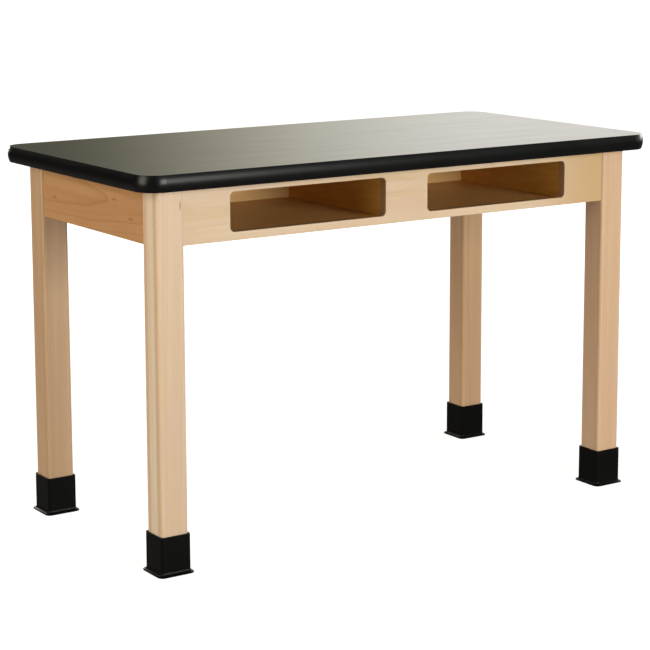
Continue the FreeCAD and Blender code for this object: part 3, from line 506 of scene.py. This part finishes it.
def zinc_steel():
    """Zinc-plated steel: soft spangle, rolling lines and duller blooms."""
    steel = Finish("zinc_steel")
    place = steel.place()
    spangle = steel.cells(place, SPANGLE)
    line = steel.noise(steel.stretch(place, ROLLING_LINES))
    bloom = steel.noise(place, scale=45.0, detail=3.0)
    colour = steel.mix(spangle, ZINC_BRIGHT, ZINC_GREY)
    colour = steel.mix(bloom.between(0.5, 0.8) * 0.5, colour, ZINC_BLOOM)
    rough = 0.28 + line * 0.10 + bloom.between(0.45, 0.8) * 0.18
    relief = steel.bump(line, ZINC_RELIEF)
    return steel.surface(Base_Color=colour, Metallic=1.0, Roughness=rough, Normal=relief)


# Particleboard: its pale and dark chips, their count and how flat they are pressed
CHIP_PALE = (0.540, 0.390, 0.240)
CHIP_DARK = (0.360, 0.240, 0.130)
CHIPS = 420.0
CHIP_PRESSED = (1.0, 1.0, 2.5)
CHIP_RELIEF = 0.2 * MM


def particleboard():
    """Raw particleboard: pressed chips of light and dark wood."""
    board = Finish("particleboard")
    place = board.place()
    chip = board.cells(board.stretch(place, CHIP_PRESSED), CHIPS, output="Color")
    tone, edge, _ = board.apart(chip)
    fine = board.noise(place, scale=900.0, detail=3.0)
    colour = board.mix(tone, CHIP_PALE, CHIP_DARK)
    rough = 0.8 + fine.swing(0.1)
    relief = board.bump(edge * 0.5 + fine * 0.5, CHIP_RELIEF, 0.7)
    return board.surface(Base_Color=colour, Roughness=rough, Normal=relief)


# Backer sheet: its two browns and its paler sanding lines, and the lines' waves
BACKER_DARK = (0.170, 0.110, 0.065)
BACKER_LIGHT = (0.235, 0.160, 0.100)
BACKER_SANDED = (0.300, 0.220, 0.150)
SANDING_LINES = (30.0, 900.0, 900.0)
BACKER_RELIEF = 0.03 * MM


def backer_sheet():
    """Brown phenolic backer with its sanding lines."""
    sheet = Finish("backer")
    place = sheet.place()
    line = sheet.noise(sheet.stretch(place, SANDING_LINES))
    cloud = sheet.noise(place, scale=9.0, detail=3.0)
    colour = sheet.mix(cloud, BACKER_DARK, BACKER_LIGHT)
    colour = sheet.mix(line * 0.3, colour, BACKER_SANDED)
    rough = 0.6 + line.swing(0.1)
    relief = sheet.bump(line, BACKER_RELIEF)
    return sheet.surface(Base_Color=colour, Roughness=rough, Normal=relief)


# Nylon: its two greys and its paler clouds
NYLON_DARK = (0.030, 0.030, 0.030)
NYLON_LIGHT = (0.055, 0.055, 0.053)
NYLON_CLOUD = (0.075, 0.073, 0.070)
NYLON_RELIEF = 0.03 * MM


def pad_nylon():
    """Dark nylon of the glide pads, scuffed by the floor."""
    pad = Finish("pad_nylon")
    place = pad.place()
    scuff = pad.noise(place, scale=300.0, detail=3.0)
    cloud = pad.noise(place, scale=60.0)
    colour = pad.mix(scuff, NYLON_DARK, NYLON_LIGHT)
    colour = pad.mix(cloud.between(0.5, 0.8) * 0.5, colour, NYLON_CLOUD)
    rough = 0.45 + scuff.swing(0.15)
    relief = pad.bump(scuff, NYLON_RELIEF)
    return pad.surface(Base_Color=colour, Roughness=rough, Normal=relief)


# What sets single boards apart. The front apron has its windows, which are their reach to either
# side of the middle, their heights, and the depth from the board's middle at which the rounded lip
# ends and the cut begins; and it yellows over a stretch to the right of its middle. The front left
# leg has a streak of sapwood. The end aprons are darker, and marks are places on the table.
WINDOWS = ((0.0508, 0.4064), (0.638175, 0.714375), -0.0087)
APRON_YELLOWS = (0.30, 0.50)
END_MARKS = ((-0.5604, -0.157, 0.663), (-0.5604, -0.093, 0.693), (-0.5604, 0.162, 0.668))
SAP_STREAK = (-0.019, -0.011, 0.010)
LEG_MARKS = ((-0.5165, -0.2667, 0.6985),)
AMBER = (0.735, 0.545, 0.367)

# Each maple board: the way its grain runs, where its log's heart lay and how it leaned, its tint,
# and what sets it apart
MAPLE_BOARDS = {
    "leg_front_left": dict(
        grain=ALONG_Z, heart=(0.09, 0.13), tilt=0.010, tint=(0.98, 1.01, 1.08),
        sapwood=SAP_STREAK, marks=LEG_MARKS),
    "leg_front_right": dict(
        grain=ALONG_Z, heart=(-0.12, 0.09), tilt=0.012, tint=(0.93, 0.875, 0.86)),
    # The back right leg's warmer tint is painted light: it stands for the warm light at the back of
    # the table
    "leg_back_right": dict(
        grain=ALONG_Z, heart=(-0.10, 0.15), tilt=0.008, tint=(0.94, 0.86, 0.77)),
    # The back left leg's darker tint is painted shade: it darkens the leg for the shade under the
    # table
    "leg_back_left": dict(
        grain=ALONG_Z, heart=(0.14, 0.08), tilt=0.014, tint=(0.77, 0.71, 0.655)),
    "front_apron": dict(
        grain=ALONG_X, heart=(0.02, 0.19), tilt=0.010, tint=(0.95, 0.97, 1.00), figure=0.16,
        yellow=APRON_YELLOWS, windows=WINDOWS),
    "rear_apron": dict(grain=ALONG_X, heart=(-0.01, -0.11), tilt=0.016, figure=0.5),
    "left_end_apron": dict(
        grain=ALONG_Y, heart=(0.014, 0.062), tilt=-0.030, tint=AMBER, figure=0.50,
        marks=END_MARKS),
    "right_end_apron": dict(
        grain=ALONG_Y, heart=(0.010, -0.075), tilt=0.030, tint=AMBER, figure=0.6),
}

# Each plywood panel of a compartment: the way its grain runs, the way through it, and its tint
WALL_GOLD = (0.88, 0.77, 0.39)
FLOOR_BROWN = (0.84, 0.73, 0.60)
PANELS = {
    "back": (ALONG_X, ALONG_Y),
    "floor": (ALONG_X, ALONG_Z, FLOOR_BROWN),
    "outer_wall": (ALONG_Y, ALONG_X, WALL_GOLD),
    "inner_wall": (ALONG_Y, ALONG_X, WALL_GOLD),
}


def dress(node, material):
    """Gives a CAD node one material."""
    mesh = nodes[node].data
    mesh.materials.clear()
    mesh.materials.append(material)


def make_finishes():
    """Gives every CAD node that stays its finish, and returns the steel for the new pieces."""
    for node, board in MAPLE_BOARDS.items():
        dress(node, maple(node, **board))
    for side in ("left", "right"):
        for panel, cut in PANELS.items():
            node = f"{side}_compartment_{panel}"
            dress(node, plywood(node, *cut))
    cleat = cleat_wood()
    dress("apron_cleats", cleat)
    dress("compartment_cleats", cleat)
    dress("top_laminate", laminate())
    dress("top_core", particleboard())
    dress("top_backer", backer_sheet())
    dress("edge_moulding", black_vinyl("vinyl_edge", **EDGE_VINYL))
    boot = black_vinyl("boot_vinyl", **BOOT_VINYL)
    steel = zinc_steel()
    pad = pad_nylon()
    for corner in CORNERS:
        dress(f"boot_{corner}", boot)
        dress(f"glide_pad_{corner}", pad)
        dress(f"corner_bracket_{corner}", steel)
    dress("bracket_washers", steel)
    dress("leg_inserts", steel)
    return steel


# New pieces of steel are built about the Z axis, with Z the way each one is driven. Here are the
# steps round a turned piece and round one turn of a thread, the distance at which two points are
# one, and the angle below which an edge is smooth.
ROUND_STEPS = 40
TURN_STEPS = 20
SAME_POINT = 1e-6
SMOOTH_BELOW = math.radians(32)


def ring(radius, height, steps=ROUND_STEPS):
    """Points round the Z axis; the radius and the height may be functions of the angle."""
    size = radius if callable(radius) else lambda angle: radius
    rise = height if callable(height) else lambda angle: height
    angles = [math.tau * k / steps for k in range(steps)]
    return [(size(a) * math.cos(a), size(a) * math.sin(a), rise(a)) for a in angles]


def skin_over(form, rings, closed=False):
    """Joins rings of as many points each; the ends are capped, or joined to each other."""
    loops = [[form.verts.new(point) for point in points] for points in rings]
    pairs = list(zip(loops, loops[1:])) + ([(loops[-1], loops[0])] if closed else [])
    for low, high in pairs:
        for k in range(len(low)):
            form.faces.new((low[k - 1], low[k], high[k], high[k - 1]))
    if not closed:
        form.faces.new(list(reversed(loops[0])))
        form.faces.new(loops[-1])


def turning(form, profile, steps=ROUND_STEPS):
    """A turned solid: profile is its (radius, height) from one end to the other."""
    skin_over(form, [ring(radius, height, steps) for radius, height in profile])


def merge(form, other):
    """Adds another form to a form."""
    mesh = bpy.data.meshes.new("joined")
    other.to_mesh(mesh)
    other.free()
    form.from_mesh(mesh)
    bpy.data.meshes.remove(mesh)


# A thread's crests and roots, as (share of the pitch, share of the depth), and the turns added to
# its length so that both its ends come out whole
THREAD_FORM = [(-1 / 16, 0.0), (1 / 16, 0.0), (3 / 8, 1.0), (5 / 8, 1.0)]
EXTRA_TURNS = 3.0


def thread(form, radius, depth, pitch, low, high, tip, taper):
    """A screw thread from low to high, which narrows to the radius tip over the length taper."""
    screw = bmesh.new()
    slope = (radius - tip) / taper
    rows = int((high - low) / pitch + EXTRA_TURNS) * TURN_STEPS

    def point(share, deep, step):
        height = min(max(low + (step / TURN_STEPS - 1 + share) * pitch, low), high)
        start = radius - depth + height - low
        end = tip + (high - height) * slope * (1 - deep * depth / radius)
        reach = min(radius - depth * deep, start, end)
        angle = math.tau * step / TURN_STEPS
        return screw.verts.new((reach * math.cos(angle), reach * math.sin(angle), height))

    strips = [[point(share, deep, step) for step in range(rows + 1)] for share, deep in THREAD_FORM]
    first, last = strips[0], strips[-1]
    strips.append(first[TURN_STEPS:])
    for lower, upper in zip(strips, strips[1:]):
        for k in range(min(len(lower), len(upper)) - 1):
            screw.faces.new((lower[k], lower[k + 1], upper[k + 1], upper[k]))
    screw.faces.new(list(reversed(first[:TURN_STEPS])))
    screw.faces.new(last[-TURN_STEPS:])
    bmesh.ops.remove_doubles(screw, verts=screw.verts, dist=SAME_POINT)
    bmesh.ops.dissolve_degenerate(screw, edges=screw.edges, dist=SAME_POINT)
    merge(form, screw)


# Hexagons: the crown that the chamfer leaves as a share of the flats, the chamfer's angle, and the
# steps round them
CROWN_SHARE = 0.97
CHAMFER = math.radians(30)
HEXAGON_STEPS = 48


def hexagon(form, flats, low, high, bore):
    """A hexagon nut or collar with both ends chamfered round, and a bore."""
    sixth = math.tau / 6
    crown = flats / 2 * CROWN_SHARE

    def side(angle):
        return flats / 2 / math.cos(angle % sixth - sixth / 2)

    def cut(angle):
        return (side(angle) - crown) * math.tan(CHAMFER)

    rings = [
        ring(bore, low, HEXAGON_STEPS),
        ring(crown, low, HEXAGON_STEPS),
        ring(side, lambda angle: low + cut(angle), HEXAGON_STEPS),
        ring(side, lambda angle: high - cut(angle), HEXAGON_STEPS),
        ring(crown, high, HEXAGON_STEPS),
        ring(bore, high, HEXAGON_STEPS),
    ]
    skin_over(form, rings, closed=True)


def placed(name, data):
    """A new object in the scene."""
    made = bpy.data.objects.new(name, data)
    bpy.context.scene.collection.objects.link(made)
    return made


def made_of(name, form):
    """A new object in the scene, made of a form."""
    bmesh.ops.recalc_face_normals(form, faces=form.faces)
    mesh = bpy.data.meshes.new(name)
    form.to_mesh(mesh)
    form.free()
    return placed(name, mesh)


def finished(name, form, material, body, replaced):
    """Makes a piece of a form, rides it on its body and stands it in for a CAD node."""
    piece = made_of(name, form)
    piece.data.shade_smooth()
    piece.data.set_sharp_from_angle(angle=SMOOTH_BELOW)
    piece.data.materials.append(material)
    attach(piece, body)
    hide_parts(replaced)


def solids(node):
    """The points of each solid of a CAD node."""
    form = bmesh.new()
    form.from_mesh(nodes[node].data)
    bmesh.ops.remove_doubles(form, verts=form.verts, dist=SAME_POINT)
    form.verts.ensure_lookup_table()
    seen = set()
    found = []
    for first in form.verts:
        if first in seen:
            continue
        seen.add(first)
        reached = [first]
        for vert in reached:
            others = [edge.other_vert(vert) for edge in vert.link_edges]
            fresh = [other for other in others if other not in seen]
            seen.update(fresh)
            reached.extend(fresh)
        found.append([vert.co.copy() for vert in reached])
    form.free()
    return found


def middle_of(points):
    """The mean of points."""
    return sum(points, Vector()) / len(points)


def span(points, axis):
    """Where points begin and end along an axis."""
    reaches = [point.dot(axis) for point in points]
    return min(reaches), max(reaches)


def length_of(points, axis):
    """How long a solid is along an axis."""
    low, high = span(points, axis)
    return high - low


def seat(points, axis):
    """The matrix that brings a piece built about Z onto a solid, its zero at the low end."""
    turned = axis.to_track_quat("Z", "Y").to_matrix()
    low_x, high_x = span(points, turned.col[0])
    low_y, high_y = span(points, turned.col[1])
    foot = turned @ Vector(((low_x + high_x) / 2, (low_y + high_y) / 2, span(points, axis)[0]))
    return Matrix.Translation(foot) @ turned.to_4x4()


def copies(master, places):
    """One form of a master form repeated at each place."""
    mesh = bpy.data.meshes.new("master")
    master.to_mesh(mesh)
    master.free()
    form = bmesh.new()
    for place in places:
        moved = mesh.copy()
        moved.transform(place)
        form.from_mesh(moved)
        bpy.data.meshes.remove(moved)
    bpy.data.meshes.remove(mesh)
    return form


# Levelling glides: the stem's ball and neck, hexagon collar, and thread
BALL_RADIUS = 5.0 * MM
BALL_STEPS = 14
NECK_RADIUS = 3.5 * MM
COLLAR_FLATS = 14.3 * MM
COLLAR_LOW = 11.5 * MM
COLLAR_HIGH = 16.5 * MM
STEM_RADIUS = 4.7625 * MM
STEM_PITCH = 1.5875 * MM
STEM_DEPTH = 0.95 * MM
STEM_END = 1.2 * MM


def glide_stem(corner, steel):
    """The ball, neck, hexagon collar and thread of one glide, where its CAD solid is."""
    node = f"glide_stem_{corner}"
    low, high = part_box(node)
    middle = (low + high) / 2
    widest = math.acos(-math.sqrt(1 - (NECK_RADIUS / BALL_RADIUS) ** 2))
    profile = []
    for k in range(1, BALL_STEPS + 1):
        angle = widest * k / BALL_STEPS
        height = low.z + BALL_RADIUS * (1 - math.cos(angle))
        profile.append((BALL_RADIUS * math.sin(angle), height))
    profile.append((NECK_RADIUS, COLLAR_LOW - MM))
    profile.append((STEM_RADIUS, COLLAR_LOW))
    profile.append((STEM_RADIUS, COLLAR_LOW + MM))
    form = bmesh.new()
    turning(form, profile)
    hexagon(form, COLLAR_FLATS, COLLAR_LOW, COLLAR_HIGH, STEM_RADIUS - STEM_DEPTH)
    tip = STEM_RADIUS - STEM_END
    start = COLLAR_HIGH - STEM_DEPTH
    thread(form, STEM_RADIUS, STEM_DEPTH, STEM_PITCH, start, high.z, tip, STEM_END)
    form.transform(Matrix.Translation((middle.x, middle.y, 0.0)))
    finished(f"threaded_glide_stem_{corner}", form, steel, f"stem_{corner}", node)


# Hanger bolts: a lag thread in the leg, a plain shank, and a machine thread through the bracket
BOLT_RADIUS = 3.97 * MM
SHANK_RADIUS = BOLT_RADIUS * 0.96
LAG_PITCH = 3.6 * MM
LAG_DEPTH = 0.95 * MM
LAG_LENGTH = 36.0 * MM
LAG_POINT = 7.0 * MM
LAG_TIP = 0.4 * MM
BOLT_PITCH = 1.411 * MM
BOLT_DEPTH = 0.85 * MM
BOLT_THREAD = 22.0 * MM
BOLT_END = 1.0 * MM
NUT_FLATS = 12.7 * MM


def toward_middle(points):
    """The level direction at 45 degrees from a corner's solid to the table's middle."""
    middle = middle_of(points)
    return Vector((-math.copysign(1, middle.x), -math.copysign(1, middle.y), 0)).normalized()


def hanger_bolts(steel):
    """The threaded hanger bolts, where a node's bolts are."""
    bolts = solids("hanger_bolts")
    axes = [toward_middle(points) for points in bolts]
    length = length_of(bolts[0], axes[0])
    master = bmesh.new()
    thread(master, BOLT_RADIUS, LAG_DEPTH, LAG_PITCH, 0.0, LAG_LENGTH, LAG_TIP, LAG_POINT)
    master.transform(Matrix.Translation((0, 0, LAG_LENGTH)) @ Matrix.Rotation(math.pi, 4, "X"))
    start = length - BOLT_THREAD
    turning(master, [(SHANK_RADIUS, LAG_LENGTH - MM), (SHANK_RADIUS, start + MM)])
    tip = BOLT_RADIUS - BOLT_END
    thread(master, BOLT_RADIUS, BOLT_DEPTH, BOLT_PITCH, start, length, tip, BOLT_END)
    form = copies(master, [seat(points, axis) for points, axis in zip(bolts, axes)])
    finished("threaded_hanger_bolts", form, steel, "root", "hanger_bolts")


def bracket_nuts(steel):
    """The chamfered nuts, where a node's nuts are."""
    nuts = solids("bracket_nuts")
    axes = [toward_middle(points) for points in nuts]
    master = bmesh.new()
    hexagon(master, NUT_FLATS, 0.0, length_of(nuts[0], axes[0]), BOLT_RADIUS)
    form = copies(master, [seat(points, axis) for points, axis in zip(nuts, axes)])
    finished("chamfered_bracket_nuts", form, steel, "root", "bracket_nuts")


# Wood screws: the steps round the head, the thread's pitch, its depth and the neck under the head as
# shares of the shank's radius, and the point's radius
SCREW_STEPS = 32
SCREW_PITCH = 2.1 * MM
SCREW_DEPTH = 0.28
SCREW_NECK = 0.8
SCREW_TIP = 0.12 * MM

# Their heads: the dome as (share of its radius, share of its height from its underside), and the
# arms of the cross recess as shares of the head, from over its top to the recess's floor
HEAD_PROFILE = [(0.30, 1.00), (0.62, 0.94), (0.84, 0.80), (0.97, 0.52), (1.00, 0.22), (0.98, 0.00)]
RECESS_REACH = (0.52, 0.23)
RECESS_HALF_WIDTH = (0.15, 0.09)
RECESS_DEPTH = (-0.1, 0.72)

# The shank and head radii, head height and point length of each kind
TOP_SCREW = (2.4 * MM, 4.75 * MM, 2.8 * MM, 6.0 * MM)
BRACKET_SCREW = (2.1 * MM, 4.0 * MM, 2.4 * MM, 4.0 * MM)


def driven_along(points):
    """The way a screw is driven: along its longest side, from its head to its point."""
    sides = [Vector((1, 0, 0)), Vector((0, 1, 0)), Vector((0, 0, 1))]
    axis = max(sides, key=lambda side: length_of(points, side))
    middle = middle_of(points)
    low, high = span(points, axis)

    def off_axis(point):
        away = point - middle
        return (away - axis * away.dot(axis)).length

    widest = max(points, key=off_axis)
    return axis if widest.dot(axis) < (low + high) / 2 else -axis


def recessed(blank, head, height):
    """Cuts a cross recess in the top of a screw's head, at height 0."""
    screw = made_of("screw", blank)
    cutters = []
    for turn in (0, math.pi / 2):
        form = bmesh.new()
        loops = []
        for reach, half, rise in zip(RECESS_REACH, RECESS_HALF_WIDTH, RECESS_DEPTH):
            plan = ((-1, -1), (1, -1), (1, 1), (-1, 1))
            loops.append([(x * reach * head, y * half * head, rise * height) for x, y in plan])
        skin_over(form, loops)
        form.transform(Matrix.Rotation(turn, 4, "Z"))
        cutters.append(made_of("recess", form))
        modifier = screw.modifiers.new("recess", "BOOLEAN")
        modifier.operation = "DIFFERENCE"
        modifier.object = cutters[-1]
    graph = bpy.context.evaluated_depsgraph_get()
    mesh = bpy.data.meshes.new_from_object(screw.evaluated_get(graph))
    form = bmesh.new()
    form.from_mesh(mesh)
    for scrap in (screw, *cutters):
        bpy.data.objects.remove(scrap)
    bpy.data.meshes.remove(mesh)
    return form


def wood_screws(node, name, shank, head, height, taper, steel):
    """Pan-head screws with cross recesses and coarse threads, where a node's screws are."""
    screws = solids(node)
    axes = [driven_along(points) for points in screws]
    length = length_of(screws[0], axes[0])
    blank = bmesh.new()
    neck = shank * SCREW_NECK
    profile = [(head * reach, height * (1 - rise)) for reach, rise in HEAD_PROFILE]
    profile += [(neck, height), (neck, height + SCREW_PITCH)]
    turning(blank, profile, SCREW_STEPS)
    master = recessed(blank, head, height)
    start = height + SCREW_PITCH / 2
    thread(master, shank, shank * SCREW_DEPTH, SCREW_PITCH, start, length, SCREW_TIP, taper)
    form = copies(master, [seat(points, axis) for points, axis in zip(screws, axes)])
    finished(name, form, steel, "root", node)


def make_steel_pieces(steel):
    """The pieces whose threads, chamfers and recesses stand in for plain CAD solids."""
    for corner in CORNERS:
        glide_stem(corner, steel)
    hanger_bolts(steel)
    bracket_nuts(steel)
    wood_screws("top_screws", "recessed_top_screws", *TOP_SCREW, steel)
    wood_screws("bracket_screws", "recessed_bracket_screws", *BRACKET_SCREW, steel)


# The photograph's camera, fitted to the table's outline: its place in metres, its angles in
# degrees, the picture's side, the focal length and the row that its axis meets in pixels, the
# sensor's width in millimetres, and how far it sees in metres
CAMERA_PLACE = Vector((-2.302, -3.418, 1.231))
CAMERA_YAW = 33.73
CAMERA_PITCH = 9.01
CAMERA_ROLL = -0.17
PICTURE = 650
FOCAL_PIXELS = 1997
PRINCIPAL_ROW = 227
SENSOR = 36.0
SIGHT = 100.0


def make_camera():
    """The camera that took the photograph."""
    lens = bpy.data.cameras.new("camera")
    lens.sensor_width = SENSOR
    lens.lens = FOCAL_PIXELS * SENSOR / PICTURE
    lens.shift_y = (PRINCIPAL_ROW - PICTURE / 2) / PICTURE
    lens.clip_end = SIGHT
    yaw, pitch, roll = (math.radians(angle) for angle in (CAMERA_YAW, CAMERA_PITCH, CAMERA_ROLL))
    ahead = Vector((
        math.sin(yaw) * math.cos(pitch), math.cos(yaw) * math.cos(pitch), -math.sin(pitch)))
    right = Vector((math.cos(yaw), -math.sin(yaw), 0.0))
    up = right.cross(ahead)
    across = right * math.cos(roll) + up * math.sin(roll)
    upright = up * math.cos(roll) - right * math.sin(roll)
    camera = placed("camera", lens)
    turned = Matrix((across, upright, -ahead)).transposed()
    camera.matrix_world = Matrix.Translation(CAMERA_PLACE) @ turned.to_4x4()
    bpy.context.scene.camera = camera


# A broad low key in front, a warm fill from the left, and lamps for the right and the back: each
# one's place and target, its width and height, its power in watts and its colour
LAMPS = {
    "key_lamp": ((0.6, -4.55, 1.25), (0.0, 0.0, 0.55), (2.2, 1.8), 156.0, (0.98, 1.0, 0.95)),
    "fill_lamp": ((-3.4, -0.3, 1.3), (0.0, 0.0, 0.4), (1.8, 2.0), 61.0, (1.0, 0.93, 0.79)),
    "right_lamp": ((4.6, 0.4, 1.8), (0.0, 0.0, 0.4), (2.0, 2.0), 75.0, (1.0, 0.97, 0.93)),
    "back_lamp": ((-0.1, 4.9, 1.6), (0.0, 0.0, 0.4), (1.5, 2.2), 85.0, (1.0, 0.97, 0.93)),
}


def make_lamps():
    """The studio's flat lamps, which the camera doesn't see."""
    for name, (place, target, size, power, colour) in LAMPS.items():
        lamp = bpy.data.lights.new(name, "AREA")
        lamp.shape = "RECTANGLE"
        lamp.size, lamp.size_y = size
        lamp.energy = power
        lamp.color = colour
        lit = placed(name, lamp)
        lit.location = place
        aim = Vector(target) - Vector(place)
        lit.rotation_euler = aim.to_track_quat("-Z", "Y").to_euler()
        lit.visible_camera = False


# The studio's ambient light, and what shiny faces see. Overhead is dim. Lower down the right is
# bright, a dark stretch lies behind, and the left and the front are all but unlit; away from the
# bright side the tones turn olive. Bearings are from straight behind towards the right. Each pair
# of numbers is where one tone turns into the next: as cosines from the bright side's bearing, for
# the front as cosines from straight behind, and for overhead as heights. The last number keeps the
# way straight up from dividing by nothing.
AMBIENT = (0.21, 0.163, 0.124)
OVERHEAD = (0.16, 0.17, 0.19)
DARK_SIDE = (0.170, 0.164, 0.136)
UNLIT = (0.015, 0.016, 0.017)
OLIVE = (0.98, 0.97, 0.82)
BRIGHT_SIDE = (1.42, 1.38, 1.29)
BRIGHT_BEARING = math.radians(80)
UNLIT_TO_DARK = (0.10, 0.48)
SIDE_TO_FRONT = (-0.30, -0.65)
DARK_TO_BRIGHT = (0.578, 0.761)
OLIVE_TO_WHITE = (0.62, 0.76)
OVERHEAD_HEIGHT = (0.25, 0.50)
NEVER_ZERO = 1e-6


def make_world():
    """White to the camera, dim for matt faces, and dark and bright sides for shiny ones."""
    world = bpy.data.worlds.new("studio")
    bpy.context.scene.world = world
    world.use_nodes = True
    sky = Tree(world.node_tree)
    x, y, z = sky.apart(sky.add("ShaderNodeTexCoord", {}, output="Generated"))
    level = (x * x + y * y + NEVER_ZERO).root()
    front = (y / level).between(*SIDE_TO_FRONT)
    bearing = (x * math.sin(BRIGHT_BEARING) + y * math.cos(BRIGHT_BEARING)) / level
    mirrored = sky.mix(bearing.between(*UNLIT_TO_DARK) * (1 - front), UNLIT, DARK_SIDE)
    mirrored = sky.mix(bearing.between(*DARK_TO_BRIGHT), mirrored, BRIGHT_SIDE)
    shade = sky.mix(bearing.between(*OLIVE_TO_WHITE), OLIVE, WHITE)
    mirrored = sky.mix(1.0, mirrored, shade, blend="MULTIPLY")
    mirrored = sky.mix(z.between(*OVERHEAD_HEIGHT), mirrored, OVERHEAD)
    colour = sky.mix(sky.rays("Is Glossy Ray"), AMBIENT, mirrored)
    colour = sky.mix(sky.rays("Is Camera Ray", "Is Transmission Ray"), colour, WHITE)
    light = sky.add("ShaderNodeBackground", {}, Color=colour, Strength=1.0)
    sky.add("ShaderNodeOutputWorld", {}, Surface=light)


# The floor: how far it reaches and how far under the pads it lies; its tone, and the darker one
# that shiny faces see; its glow near the table, where the shadow stays, the distances between which
# that rises to white, and how much of the near glow shiny faces see
FLOOR_REACH = 40.0
FLOOR_GAP = 0.5 * MM
FLOOR_TONE = (0.5, 0.5, 0.5)
FLOOR_TONE_IN_GLOSS = (0.08, 0.08, 0.08)
FLOOR_NEAR = (0.80, 0.80, 0.80)
NEAR_TO_FAR = (1.4, 4.0)
FLOOR_IN_GLOSS = 0.10


def make_floor():
    """A white floor that keeps the table's soft shadow."""
    white = Finish("floor_white")
    x, y, _ = white.apart(white.place())
    far = (x * x + y * y).root().between(*NEAR_TO_FAR)
    glossy = white.rays("Is Glossy Ray")
    shown = white.rays("Is Camera Ray", "Is Transmission Ray")
    shown = shown.or_more(glossy * (1 - far) * FLOOR_IN_GLOSS)
    glow = white.mix(far, FLOOR_NEAR, WHITE)
    glow = white.add("ShaderNodeEmission", {}, Color=glow, Strength=shown)
    tone = white.mix(glossy, FLOOR_TONE, FLOOR_TONE_IN_GLOSS)
    matt = white.add("ShaderNodeBsdfDiffuse", {}, Color=tone)
    both = white.add("ShaderNodeAddShader", {}, matt, glow)
    white.add("ShaderNodeOutputMaterial", {}, Surface=both)
    reach = FLOOR_REACH
    corners = [(-reach, -reach, 0), (reach, -reach, 0), (reach, reach, 0), (-reach, reach, 0)]
    mesh = bpy.data.meshes.new("floor")
    mesh.from_pydata(corners, [], [(0, 1, 2, 3)])
    mesh.materials.append(white.material)
    floor = placed("floor", mesh)
    floor.location.z = cad_box[0].z - FLOOR_GAP


steel_finish = make_finishes()
make_steel_pieces(steel_finish)
make_camera()
make_lamps()
make_world()
make_floor()
bpy.context.scene.view_settings.view_transform = "Standard"
